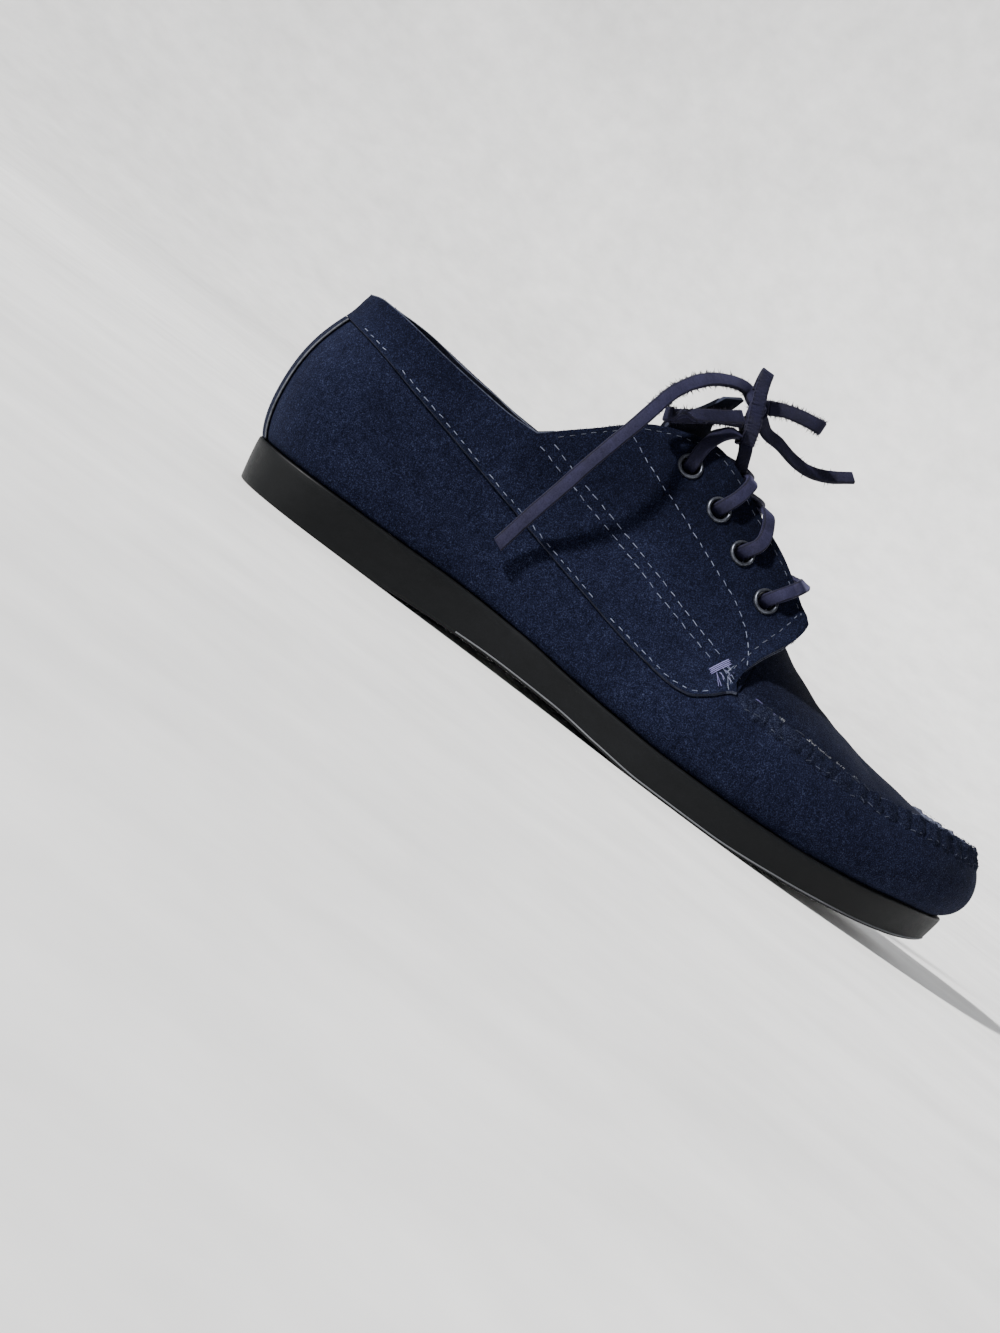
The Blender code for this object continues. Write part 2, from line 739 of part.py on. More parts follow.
def quarters(holes):
    """The quarters and collar in one piece, standing proud of the wall below them."""
    points = []
    for i in REAR:
        points += [high_point(SECTIONS[i], t) for t in HIGH_STEPS]
    faces = grid_faces(len(REAR), len(HIGH_STEPS))
    made = solid("quarters", points, faces, "suede")
    raised(made, GAP)
    thicken(made, OVERLAY, outwards=True)
    combine(made, holes, "DIFFERENCE")
    return made


def back_strip():
    """The strip that covers the heel seam, from the sole up to the collar."""
    edge = math.cos(math.radians(STRIP_ANGLE)) - 1e-6
    columns = [section for section in SECTIONS if -section.ahead[0] > edge]
    points = []
    for section in columns:
        curve = low_curve(section)
        for t in (0.05,) + LOW_STEPS[1:-1] + (0.985,):
            out, z = bezier(*curve, t)
            points.append(section.place(out, z))
    made = solid("back_strip", points, grid_faces(len(columns), len(LOW_STEPS)), "suede_dark")
    raised(made, GAP)
    thicken(made, OVERLAY, outwards=True)
    return made


def tongue():
    """A separate arched strip that rises from under the plug to above the flaps."""
    points = []
    across = np.linspace(-1, 1, 7)
    rows = rounded(list(zip(*TONGUE.values())), per=2)
    for x, z, half, drop, sweep in rows:
        for v in across:
            points.append((x - sweep * v * v, centre_y(x) + half * v, z - drop * v * v))
    made = solid("tongue", points, grid_faces(len(rows), len(across)), "suede_dark")
    thicken(made, TONGUE_THICK, outwards=True)
    return made


# ---------------------------------------------------------------- eyelets and lace


def eyelets():
    """Four rolled metal eyelets on each flap, each with its barrel through the leather."""
    made = []
    low, top = -WALL - 0.4, OVERLAY + GAP + 0.35
    profile = [(EYELET_BORE, low), (EYELET_TUBE, low), (EYELET_TUBE, top), (EYELET_OUTER, top),
               (EYELET_TUBE + 0.3, top + EYELET_RISE), (EYELET_BORE, top + 0.5 * EYELET_RISE)]
    for side, name in ((-1, "lateral"), (1, "medial")):
        for k, (x, inset) in enumerate(zip(EYELETS["x"], EYELETS["inset"]), start=1):
            here, out = flap_place(side, x, inset)
            made.append(turned(f"eyelet_{name}_{k}", here, out, profile, 10, "eyelet_metal"))
    return made


def ribbon(name, line, faces_up, finish, guide=False):
    """A flat strip along a line, with its flat side towards faces_up at each point."""
    line, faces_up = np.array(line, float), np.array(faces_up, float)
    points = []
    for k, here in enumerate(line):
        along = line[min(k + 1, len(line) - 1)] - line[max(k - 1, 0)]
        along /= np.linalg.norm(along)
        up = faces_up[k] - along * (faces_up[k] @ along)
        up /= np.linalg.norm(up)
        wide = np.cross(along, up) * LACE_WIDE / 2
        thick = up * LACE_THICK / 2
        points += [here - wide - thick, here + wide - thick, here + wide + thick,
                   here - wide + thick]
    faces = []
    for k in range(len(line) - 1):
        for n in range(4):
            a, b = 4 * k + n, 4 * k + (n + 1) % 4
            faces.append((a + 4, b + 4, b, a))
    faces.append((0, 1, 2, 3))
    end = 4 * (len(line) - 1)
    faces.append((end + 3, end + 2, end + 1, end))
    return solid(name, points, faces, finish, guide)


def lace_start(side, number):
    """The first point of a lace, just above its eyelet, and its way up."""
    here, out = flap_place(side, EYELETS["x"][number - 1], EYELETS["inset"][number - 1])
    return here + out * (LACE_LIFT + EYELET_RISE + LACE_CLEAR), out


def lace_over_flap(side, number):
    """Points and ways up of a lace from above an eyelet to just past the flap's edge."""
    x, inset = EYELETS["x"][number - 1], EYELETS["inset"][number - 1]
    row = int(np.argmax(LACING["eyelet"] == number))
    first, way = lace_start(side, number)
    line, ups = [first], [way]
    for share, column, extra in LACE_STEPS:
        below = inset * (1 - share) + EDGE_BELOW
        here, out = flap_place(side, x + LACING[column][row], below)
        line.append(here + out * (LACE_LIFT + extra))
        ups.append(out)
    return line, ups


def lace_bar(number):
    """The straight bar across a pair of eyelets."""
    row = int(np.argmax(LACING["eyelet"] == number))
    left, left_up = lace_over_flap(-1, number)
    right, right_up = lace_over_flap(1, number)
    rise = np.array([LACING["middle"][row], 0, LACING["rise"][row]])
    line = rounded(left + [(left[-1] + right[-1]) / 2 + rise] + right[::-1], per=2)
    ups = rounded(left_up + [np.array([0, 0, 1.0])] + right_up[::-1], per=2)
    return ribbon(f"lace_bar_{number}", line, ups, "lace_leather")


def lace_cross(number):
    """Two strands that cross in the middle of the throat and each dive past the other flap."""
    x = EYELETS["x"][number - 1]
    row = int(np.argmax(LACING["eyelet"] == number))
    strands = []
    for side in (-1, 1):
        line, ups = lace_over_flap(side, number)
        above = LACING["rise"][row] + (CROSS_LIFT if side > 0 else 0.0)
        ahead = line[-1][0] + LACING["middle"][row]
        middle = np.array([ahead, centre_y(x), line[-1][2] + above])
        far, _ = flap_place(-side, x + LACING["dive"][row], 0.0)
        past = far + np.array([0.0, side * DIVE_INSIDE, DIVE_ABOVE])
        path = rounded(line + [middle, past], per=2)
        ways = rounded(ups + [(0, 0, 1.0), DIVE_WAY], per=2)
        name = f"lace_crossing_{number}" if side < 0 else f"strand_{number}"
        strands.append(ribbon(name, path, ways, "lace_leather", guide=side > 0))
    combine(strands[0], strands[1], "UNION")
    return strands[0]


def lace_tie():
    """The strand that comes up through the top pair of eyelets and passes under the knot."""
    lines, ways = [], []
    for side in (-1, 1):
        first, way = lace_start(side, 1)
        line, ups = [first], [way]
        for x, half, z, forward, outwards, up in zip(*TIE.values()):
            line.append((x, centre_y(x) + side * half, z))
            ups.append((forward, side * outwards, up))
        lines.append(line)
        ways.append(ups)
    level = KNOT[2] - KNOT_HALF[2] - TIE_UNDER - LACE_THICK / 2
    middle = (KNOT[0], centre_y(KNOT[0]), level)
    line = rounded(lines[0] + [middle] + lines[1][::-1], per=2)
    ups = rounded(ways[0] + [(0, 0, 1.0)] + ways[1][::-1], per=2)
    return ribbon("lace_tie_1", line, ups, "lace_leather")


def knot():
    """The knot of the bow as one closed form of its outer shape."""
    profile = []
    for step in range(9):
        angle = math.pi * step / 8
        profile.append((math.sin(angle), -math.cos(angle)))
    frame = Matrix.Rotation(math.radians(KNOT_LEAN), 3, "Y") @ Matrix.Diagonal(KNOT_HALF)
    points, count = [], 12
    for n in range(count):
        angle = 2 * math.pi * n / count
        for radius, height in profile:
            local = Vector((radius * math.cos(angle), radius * math.sin(angle), height))
            points.append(np.array(KNOT) + np.array(frame @ local))
    return solid("lace_knot", points, grid_faces(count, len(profile), closed=True), "lace_leather")


def cord(name, route):
    """A free stretch of lace as a round tube as wide as the lace."""
    curve = bpy.data.curves.new(name, "CURVE")
    curve.dimensions = "3D"
    curve.bevel_depth = LACE_WIDE / 2 * MM
    curve.bevel_resolution = 2
    curve.use_fill_caps = True
    line = rounded(route, per=2)
    spline = curve.splines.new("POLY")
    spline.points.add(len(line) - 1)
    for point, place in zip(spline.points, line):
        point.co = (*metres(place), 1.0)
    made = bpy.data.objects.new(name, curve)
    bpy.context.collection.objects.link(made)
    curve.materials.append(material("lace_leather"))
    return made


def clear_scene():
    for old in list(bpy.data.objects):
        bpy.data.objects.remove(old)


def build():
    clear_scene()
    holes = hole_cutters()
    outsole()
    insole()
    upper(holes)
    quarters(holes)
    back_strip()
    tongue()
    eyelets()
    lace_tie()
    lace_cross(2)
    lace_cross(3)
    lace_bar(4)
    knot()
    for name, route in BOW.items():
        cord(name, route)


build()
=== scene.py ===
"""Looks of the right camp moccasin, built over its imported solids.

Tables and named sizes are in millimetres. While a piece is worked out, x runs from the back of the
sole towards the toe, y towards the medial side and z up from the floor; placed() turns that into
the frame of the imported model. A section's wall is read by a height from 0 at its foot through 1 on
the seam line to 2 at its top edge.
"""

import math
import random

import bmesh
import bpy
import numpy as np
from mathutils import Matrix, Vector
from mathutils.bvhtree import BVHTree


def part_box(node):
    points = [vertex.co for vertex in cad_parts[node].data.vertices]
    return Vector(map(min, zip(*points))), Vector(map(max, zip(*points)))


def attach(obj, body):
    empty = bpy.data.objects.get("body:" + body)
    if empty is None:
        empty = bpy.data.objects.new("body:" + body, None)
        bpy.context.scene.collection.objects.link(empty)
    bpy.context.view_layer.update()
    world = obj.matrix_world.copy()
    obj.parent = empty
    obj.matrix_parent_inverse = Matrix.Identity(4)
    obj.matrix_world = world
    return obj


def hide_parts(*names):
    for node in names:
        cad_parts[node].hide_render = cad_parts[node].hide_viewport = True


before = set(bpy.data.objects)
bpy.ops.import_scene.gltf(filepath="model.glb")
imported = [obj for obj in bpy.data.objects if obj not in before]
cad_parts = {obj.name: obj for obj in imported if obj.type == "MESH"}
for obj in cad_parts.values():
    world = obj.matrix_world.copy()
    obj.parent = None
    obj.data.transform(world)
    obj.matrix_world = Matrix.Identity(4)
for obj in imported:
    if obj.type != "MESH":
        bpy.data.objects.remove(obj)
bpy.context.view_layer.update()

MM = 0.001
BACK_OF_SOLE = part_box("outsole")[0].x / MM
ORIGIN_Y = -0.4           # the frame's origin, seen from the heel's centre line


def table(names, *rows):
    """A table as a dictionary of columns, with one row for each section."""
    return dict(zip(names.split(), np.array(rows, float).T))


# ---------------------------------------------------------------- the shoe's sizes

HEEL_CENTRE_X = 36.0      # the point that the sections run out from round the heel
TOE_CENTRE_X = 236.0      # and round the toe
TOE_CENTRE_Y = 3.5
TACK_X = 185.0            # where the eyelet flaps end and the moccasin seam begins
NOTCH_X = 78.0            # where the collar ends and the eyelet flap rises

GAP = 0.3                 # between two pieces that lie on each other
WALL = 1.8                # thickness of the wall and the plug
OVERLAY = 1.3             # thickness of the quarters and the back strip
FLAP_LEAN = 8.0           # how far the flap's top edge leans forwards at its front

# The sole's top edge seen from above: how far it is from the heel's centre line on each side.
OUTLINE = table(
    "x lateral medial",
    (3.5, 14.0, 14.0),
    (13, 25.5, 25.0),
    (30, 33.0, 32.5),
    (60, 35.5, 34.5),
    (95, 37.5, 33.0),
    (125, 42.0, 32.5),
    (155, 48.6, 38.2),
    (180, 52.8, 45.6),
    (205, 53.8, 51.2),
    (228, 50.8, 53.2),
    (250, 43.6, 51.4),
    (270, 33.0, 46.0),
    (286, 19.0, 37.5),
    (297, 3.0, 25.5),
)
HEEL_BACK = (0.0, 0.0)
TOE_TIP = (301.5, 11.5)

# Heights of the sole's top edge and of its underside.
SOLE = table(
    "x top bottom",
    (0, 15.9, 0.0),
    (55, 16.6, 0.0),
    (87, 17.2, 2.0),
    (115, 16.4, 3.2),
    (137, 14.6, 2.9),
    (157, 13.4, 1.3),
    (176, 12.7, 0.0),
    (204, 13.0, 0.0),
    (233, 14.2, 1.7),
    (260, 17.0, 4.4),
    (282, 20.0, 7.6),
    (302, 22.0, 12.0),
)

# The wall up to the seam line: how far outside the sole's edge are its foot, its fullest part
# halfway up and the seam line, and the seam line's height.
WALL_LOW = table(
    "x foot swell seam_out seam_z",
    (0, -2.4, 4.1, -0.6, 67.4),
    (12, -2.4, 3.8, -0.6, 65.4),
    (36, -2.2, 2.0, -1.2, 60.3),
    (78, -2.5, 0.5, -2.4, 50.5),
    (120, -2.6, 0.3, -2.4, 40.6),
    (150, -2.8, 0.6, -2.0, 34.6),
    (164, -3.0, 1.0, -2.2, 33.0),
    (171, -3.0, 1.2, -2.6, 33.9),
    (178, -3.0, 1.3, -3.8, 38.2),
    (185, -3.0, 1.4, -6.4, 43.6),
    (204, -3.0, 1.5, -8.0, 42.6),
    (236, -3.0, 1.5, -9.0, 41.7),
    (262, -3.0, 2.0, -8.4, 42.6),
    (285, -2.8, 3.2, -6.0, 45.0),
    (301, -2.2, 4.2, -3.6, 46.4),
)

# The top edge along the collar and the flap: its height, how far it is from the centre line, how
# many degrees the wall leans inwards there, and how much higher the medial side is.
COLLAR = table(
    "x z half tilt medial_rise",
    (0, 80.0, 32.4, 9, 0.0),
    (14, 79.0, 30.4, 10, 1.5),
    (36, 76.4, 29.6, 12, 3.0),
    (54, 74.6, 30.4, 14, 3.0),
    (68, 73.6, 31.6, 16, 2.6),
    (NOTCH_X, 74.0, 32.6, 19, 1.8),
)
FLAP = table(
    "x z half tilt medial_rise",
    (NOTCH_X, 74.0, 32.6, 19, 1.8),
    (86, 81.2, 29.6, 24, 0.8),
    (94, 88.4, 26.2, 29, 0.0),
    (102, 95.6, 22.4, 33, 0.0),
    (110, 101.0, 19.0, 36, 0.0),
    (120, 105.2, 15.8, 39, 0.0),
    (131, 107.6, 13.8, 41, 0.0),
    (141, 105.6, 14.0, 41, 0.0),
    (152, 100.2, 15.4, 41, 0.0),
    (163, 95.0, 17.0, 42, 0.0),
    (172, 90.8, 18.4, 42, 0.0),
    (180, 86.0, 20.0, 43, 0.0),
    (187, 81.0, 22.2, 44, 0.0),
    (191.5, 77.0, 24.6, 45, 0.0),
    (193, 74.0, 26.8, 46, 0.0),
)

# Height of the plug's middle.
PLUG = table(
    "x z",
    (168, 81.0),
    (180, 74.6),
    (185, 72.0),
    (197, 66.0),
    (211, 59.8),
    (225, 55.4),
    (236, 52.8),
)
PLUG_BACK_X = 172.0       # where the tab behind it ends
PLUG_DOME = 2.0           # how square the plug is across
PLUG_TOE = 1.6            # and over the toe
PLUG_ROWS = 30            # rows of points from its edge to its middle
TAB_ROWS = 13             # and along the tab

# The tongue's middle, half its width, and how much lower and further back its edges are.
TONGUE = table(
    "x z half drop sweep",
    (190, 62.8, 17, 6.6, 0),
    (181, 68.6, 18, 8.0, 0),
    (172, 74.8, 19, 9.6, 0),
    (163, 83.6, 19.5, 12.0, 0),
    (152, 91.2, 19.0, 12.6, 2),
    (142, 96.8, 18.5, 12.4, 5),
    (134, 101.6, 16.5, 11.0, 9),
    (129, 107.4, 15.7, 10.4, 13),
    (126.5, 114.2, 16.2, 9.0, 13.5),
    (126.0, 121.6, 15.6, 7.0, 7.0),
    (127.6, 128.0, 12.0, 4.0, 4.0),
)
TONGUE_THICK = 1.8

# The eyelets on each flap, and how far below its edge they are.
EYELETS = table(
    "x inset",
    (127.4, 13.0),
    (143.6, 17.0),
    (157.0, 16.2),
    (171.0, 16.2),
)


# ---------------------------------------------------------------- curves


def smooth(columns, name, x):
    """One column of a table read at x, on a curve that has no bumps between the rows."""
    xs, ys = columns["x"], columns[name]
    if xs[0] > xs[-1]:
        xs, ys = xs[::-1], ys[::-1]
    step = np.diff(xs)
    rise = np.diff(ys) / step
    slope = np.zeros(len(xs))
    both = rise[1:] * rise[:-1] > 0
    slope[1:-1][both] = 2 * rise[1:][both] * rise[:-1][both] / (rise[1:] + rise[:-1])[both]
    slope[0], slope[-1] = rise[0], rise[-1]
    x = float(np.clip(x, xs[0], xs[-1]))
    k = int(np.clip(np.searchsorted(xs, x) - 1, 0, len(step) - 1))
    h = step[k]
    t = (x - xs[k]) / h
    start = (1 + 2 * t) * (1 - t) ** 2 * ys[k] + t * (1 - t) ** 2 * h * slope[k]
    end = t * t * (3 - 2 * t) * ys[k + 1] + t * t * (t - 1) * h * slope[k + 1]
    return float(start + end)


def rounded(points, per=8, closed=False):
    """A Catmull-Rom curve through points, with per steps between each pair."""
    points = np.array(points, float)
    if closed:
        points = np.vstack([points[-1:], points, points[:2]])
    else:
        first, last = 2 * points[0] - points[1], 2 * points[-1] - points[-2]
        points = np.vstack([first, points, last])
    curve = []
    for a, b, c, d in zip(points, points[1:], points[2:], points[3:]):
        for t in np.arange(per) / per:
            bend = (2 * a - 5 * b + 4 * c - d) * t * t
            twist = (3 * b - a - 3 * c + d) * t ** 3
            curve.append(0.5 * (2 * b + (c - a) * t + bend + twist))
    if not closed:
        curve.append(points[-2])
    return np.array(curve)


def run_along(line):
    """How far each row of a line is from its start; a row's first three columns are its place."""
    return np.concatenate([[0], np.cumsum(np.linalg.norm(np.diff(line[:, :3], axis=0), axis=1))])


def read_at(at, run, rows):
    """Every column of the rows, which stand at the distances in run, read at other distances."""
    return np.array([np.interp(at, run, column) for column in rows.T]).T


def even(line, step):
    """The same line with rows that far apart."""
    line = np.array(line, float)
    run = run_along(line)
    count = max(2, int(round(run[-1] / step)) + 1)
    return read_at(np.linspace(0, run[-1], count), run, line)


def bezier(a, b, c, d, t):
    """A point of a cubic curve."""
    s = 1 - t
    return s ** 3 * a + 3 * s * s * t * b + 3 * s * t * t * c + t ** 3 * d


def ease(t):
    """0 to 1 with soft ends."""
    t = np.clip(t, 0.0, 1.0)
    return t * t * (3 - 2 * t)


def unit(v):
    """The same vector one long."""
    v = np.array(v, float)
    return v / np.linalg.norm(v)


def unit_rows(vectors):
    """The same for each vector of an array."""
    return vectors / np.maximum(np.linalg.norm(vectors, axis=-1, keepdims=True), 1e-9)


def circle(radius, count):
    """The profile of a round thread or wire."""
    angles = np.linspace(0, 2 * math.pi, count + 1)[:-1]
    return [(radius * math.cos(a), radius * math.sin(a)) for a in angles]


def sole_outline():
    """The sole's top edge seen from above, as a closed curve."""
    medial = list(zip(OUTLINE["x"], OUTLINE["medial"]))
    lateral = list(zip(OUTLINE["x"], -OUTLINE["lateral"]))
    return rounded([TOE_TIP] + medial[::-1] + [HEEL_BACK] + lateral, per=16, closed=True)


OUTLINE_CURVE = sole_outline()


def centre_y(x):
    """The shoe's centre line, which bends to the medial side ahead of the heel."""
    along = (x - HEEL_CENTRE_X) / (TOE_CENTRE_X - HEEL_CENTRE_X)
    return TOE_CENTRE_Y * min(max(along, 0.0), 1.0)


def sole_top(x):
    """Height of the sole's top edge."""
    return smooth(SOLE, "top", x)


# ---------------------------------------------------------------- sections round the shoe


class Section:
    """An upright plane that runs outwards from the centre line and cuts the shoe's edge once."""

    def __init__(self, axis, angle, x, side):
        self.axis = np.array(axis, float)
        self.ahead = np.array([math.cos(angle), math.sin(angle)])
        self.x = x
        self.side = side
        self.edge = self.reach()
        self.low = self.low_curve()
        self.lean = FLAP_LEAN * float(ease((x - 135) / (TACK_X - 135)))
        self.high = self.high_curve() if x <= TACK_X else None

    def reach(self):
        """Distance from the axis to the sole's outline along this section."""
        across = np.array([-self.ahead[1], self.ahead[0]])
        local = OUTLINE_CURVE - self.axis
        along, off = local @ self.ahead, local @ across
        after, off_after = np.roll(along, -1), np.roll(off, -1)
        cut = (off * off_after <= 0) & (off != off_after)
        t = off[cut] / (off[cut] - off_after[cut])
        return float(np.max(along[cut] + t * (after[cut] - along[cut])))

    def low_curve(self):
        """The four points that shape the wall from its foot to the seam line."""
        foot_out, seam_out = smooth(WALL_LOW, "foot", self.x), smooth(WALL_LOW, "seam_out", self.x)
        swell = (8 * smooth(WALL_LOW, "swell", self.x) - foot_out - seam_out) / 6
        foot_x = self.place(self.edge + foot_out, 0)[0]
        low, high = sole_top(foot_x) + GAP, smooth(WALL_LOW, "seam_z", self.x)
        rise = high - low
        outs = (self.edge + foot_out, self.edge + swell, self.edge + swell, self.edge + seam_out)
        return [np.array(p) for p in zip(outs, (low, low + 0.2 * rise, low + 0.7 * rise, high))]

    def high_curve(self):
        """The four points that shape the wall from the seam line to the top edge."""
        seam, along = self.low[3], self.low[3] - self.low[2]
        x_top = self.x + self.lean
        edge = COLLAR if x_top < NOTCH_X else FLAP
        rise = smooth(edge, "medial_rise", x_top) if self.side > 0 else 0.0
        top = np.array([smooth(edge, "half", x_top), smooth(edge, "z", x_top) + rise])
        tilt = math.radians(smooth(edge, "tilt", x_top))
        third = 0.34 * np.linalg.norm(top - seam)
        before = seam + along / np.linalg.norm(along) * third
        return [seam, before, top + third * np.array([math.sin(tilt), -math.cos(tilt)]), top]

    def place(self, out, z, forward=0.0):
        """The point that far out from the axis, at that height."""
        flat = self.axis + self.ahead * out
        return np.array([flat[0] + forward, flat[1], z])

    def wall(self, t):
        """A point of the wall's outside: t 0 at the foot, 1 on the seam line, 2 at the top edge."""
        if t <= 1:
            return self.place(*bezier(*self.low, t))
        return self.place(*bezier(*self.high, t - 1), self.lean * (t - 1))


def make_sections(toe_step, side_step, heel_step):
    """Sections from the toe tip round the medial side and the heel and back.

    The steps round the toe and the heel are in degrees, the one between them in millimetres.
    """
    toe, heel = [], []
    for degrees in np.arange(0, 89.9, toe_step):
        x = TOE_CENTRE_X + (TOE_TIP[0] - TOE_CENTRE_X) * math.cos(math.radians(degrees))
        toe.append((x, math.radians(degrees)))
    for degrees in np.arange(0, 89.9, heel_step):
        x = HEEL_CENTRE_X * (1 - math.cos(math.radians(degrees)))
        heel.append((x, math.radians(degrees)))
    fixed = [HEEL_CENTRE_X, NOTCH_X, TACK_X, TOE_CENTRE_X]
    side = []
    for a, b in zip(fixed, fixed[1:]):
        side += list(np.linspace(a, b, int(round((b - a) / side_step)) + 1)[:-1])
    side.append(TOE_CENTRE_X)
    toe_axis, heel_axis = (TOE_CENTRE_X, TOE_CENTRE_Y), (HEEL_CENTRE_X, 0.0)
    half = [Section(toe_axis, a, x, 1) for x, a in toe]
    half += [Section((x, centre_y(x)), math.pi / 2, x, 1) for x in side[::-1]]
    half += [Section(heel_axis, math.pi - a, x, 1) for x, a in heel[::-1]]
    back = [Section(heel_axis, math.pi + a, x, -1) for x, a in heel[1:]]
    back += [Section((x, centre_y(x)), -math.pi / 2, x, -1) for x in side]
    back += [Section(toe_axis, -a, x, -1) for x, a in toe[:0:-1]]
    return half + back


# All sections, those of the quarters and the collar, and those round the toe from the lateral to
# the medial flap.
SECTIONS = make_sections(1.2, 1.5, 3.0)
REAR = [i for i, s in enumerate(SECTIONS) if s.x <= TACK_X + 1e-6]
FRONT_MEDIAL = [i for i, s in enumerate(SECTIONS) if s.x >= TACK_X - 1e-6 and i <= REAR[0]]
FRONT_LATERAL = [i for i, s in enumerate(SECTIONS) if s.x >= TACK_X - 1e-6 and i >= REAR[-1]]
FRONT_RING = FRONT_LATERAL + FRONT_MEDIAL


# ---------------------------------------------------------------- meshes


def placed(points):
    """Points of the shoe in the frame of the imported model, in metres."""
    points = np.asarray(points, float).reshape(-1, 3)
    return np.column_stack([points[:, 0] * MM + BACK_OF_SOLE * MM,
                            (points[:, 1] - ORIGIN_Y) * MM, points[:, 2] * MM])


def shown(name, data):
    """A new object with that data, in the scene."""
    thing = bpy.data.objects.new(name, data)
    bpy.context.scene.collection.objects.link(thing)
    return thing


def made(name, points, faces, finishes, slot, stands_for=(), face_finish=None):
    """A piece from points in millimetres that rides on the shoe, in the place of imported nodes.

    face_finish says which of the finishes each face gets, if not all get the first.
    """
    mesh = bpy.data.meshes.new(name)
    mesh.from_pydata(placed(points).tolist(), [], [tuple(int(n) for n in f) for f in faces])
    for skin in finishes:
        mesh.materials.append(skin)
    if face_finish is not None:
        mesh.polygons.foreach_set("material_index", np.asarray(face_finish, np.int32))
    mesh.shade_smooth()
    piece = shown(name, mesh)
    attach(piece, "root")
    if stands_for:
        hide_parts(*stands_for)
    return piece


def grid_faces(columns, rows, closed=False, start=0, flip=False):
    """Faces between neighbouring columns of a grid whose columns have that many rows."""
    i = np.arange(columns if closed else columns - 1)[:, None]
    j = np.arange(rows - 1)[None, :]
    a = start + i * rows + j
    b = start + (i + 1) % columns * rows + j
    faces = np.stack([a, b, b + 1, a + 1], axis=-1).reshape(-1, 4)
    return faces[:, ::-1] if flip else faces


def grid_normals(grid, closed=False):
    """The way out at each point of a grid of points."""
    if closed:
        ring = np.concatenate([grid[-1:], grid, grid[:1]])
        along = ring[2:] - ring[:-2]
    else:
        along = np.gradient(grid, axis=0)
    return unit_rows(np.cross(along, np.gradient(grid, axis=1)))


def thicken(piece, thickness, outwards=False, rim=0, inside=0):
    """Give a sheet its thickness; rim and inside say which finish its edge and its back get."""
    change = piece.modifiers.new("thickness", "SOLIDIFY")
    change.thickness = thickness * MM
    change.offset = 1.0 if outwards else -1.0
    change.use_even_offset = True
    change.use_quality_normals = True
    change.material_offset = inside
    change.material_offset_rim = rim


def soften(piece, width):
    """Round the sharp edges of a thickened sheet."""
    change = piece.modifiers.new("round", "BEVEL")
    change.width = width * MM
    change.segments = 2
    change.limit_method = "ANGLE"
    change.angle_limit = math.radians(50)
    change.harden_normals = False


def strip_axes(line, ups):
    """Up and across at each point of a strip whose flat side faces roughly up."""
    along = unit_rows(np.gradient(line, axis=0))
    up = unit_rows(ups - along * np.sum(ups * along, axis=1, keepdims=True))
    return up, np.cross(along, up)


def tube(line, ups, profile):
    """Points and faces of a strip with that profile of (across, up) along a line."""
    line = np.array(line, float)
    up, across = strip_axes(line, np.array(ups, float))
    profile = np.array(profile, float)
    if profile.ndim == 2:
        profile = np.repeat(profile[None], len(line), axis=0)
    grid = line[:, None] + across[:, None] * profile[:, :, :1] + up[:, None] * profile[:, :, 1:]
    count = profile.shape[1]
    faces = []
    for k in range(len(line) - 1):
        for n in range(count):
            a, b = k * count + n, k * count + (n + 1) % count
            faces.append((a + count, b + count, b, a))
    end = (len(line) - 1) * count
    faces.append(tuple(range(count)))
    faces.append(tuple(range(end, end + count))[::-1])
    return grid.reshape(-1, 3), faces


def joined(parts):
    """Points and faces of several small things as one mesh."""
    points, faces, start = [], [], 0
    for some_points, some_faces in parts:
        points.append(np.asarray(some_points, float).reshape(-1, 3))
        faces += [tuple(int(n) + start for n in f) for f in some_faces]
        start += len(points[-1])
    return np.concatenate(points), faces


# ---------------------------------------------------------------- finishes


def finish(name, **sockets):
    """A material with those values on its shader, its node tree and its shader."""
    material = bpy.data.materials.new(name)
    material.use_nodes = True
    shader = material.node_tree.nodes["Principled BSDF"]
    for socket, value in sockets.items():
        shader.inputs[socket.replace("_", " ")].default_value = value
    return material, material.node_tree, shader


def node(tree, kind, inputs, output=0, **settings):
    """An output of a new node whose inputs are given as values or as outputs to link."""
    new = tree.nodes.new("ShaderNode" + kind)
    for setting, value in settings.items():
        setattr(new, setting, value)
    for socket, value in inputs.items():
        if isinstance(value, bpy.types.NodeSocket):
            tree.links.new(value, new.inputs[socket])
        else:
            new.inputs[socket].default_value = value
    return new.outputs[output]


def grain(tree, size, detail=3.0, rough=0.6, warp=0.0, stretch=(1, 1, 1), turn=(0, 0, 0)):
    """Noise in the shoe's own space, with grains of that size in millimetres."""
    turned = node(tree, "Mapping", {"Vector": node(tree, "TexCoord", {}, "Object"),
                                    "Scale": stretch, "Rotation": [math.radians(a) for a in turn]})
    return node(tree, "TexNoise", {"Vector": turned, "Scale": 1000.0 / size, "Detail": detail,
                                   "Roughness": rough, "Distortion": warp}, "Fac")


def weighed(tree, noises, weights):
    """The sum of some of the noises with those weights, kept round 0.5."""
    total = None
    for name, weight in weights.items():
        offset = 0.5 * (1 - weight) if total is None else -0.5 * weight
        part = node(tree, "Math", {0: noises[name], 1: weight, 2: offset}, operation="MULTIPLY_ADD")
        total = part if total is None else node(tree, "Math", {0: total, 1: part}, operation="ADD")
    return total


def ramp(tree, value, *stops):
    """Colours at places from 0 to 1 along a value."""
    colour_out = node(tree, "ValToRGB", {"Fac": value}, "Color")
    marks = colour_out.node.color_ramp.elements
    while len(marks) < len(stops):
        marks.new(0.5)
    for mark, (at, colour) in zip(marks, stops):
        mark.position = at
        mark.color = (*colour, 1.0)
    return colour_out


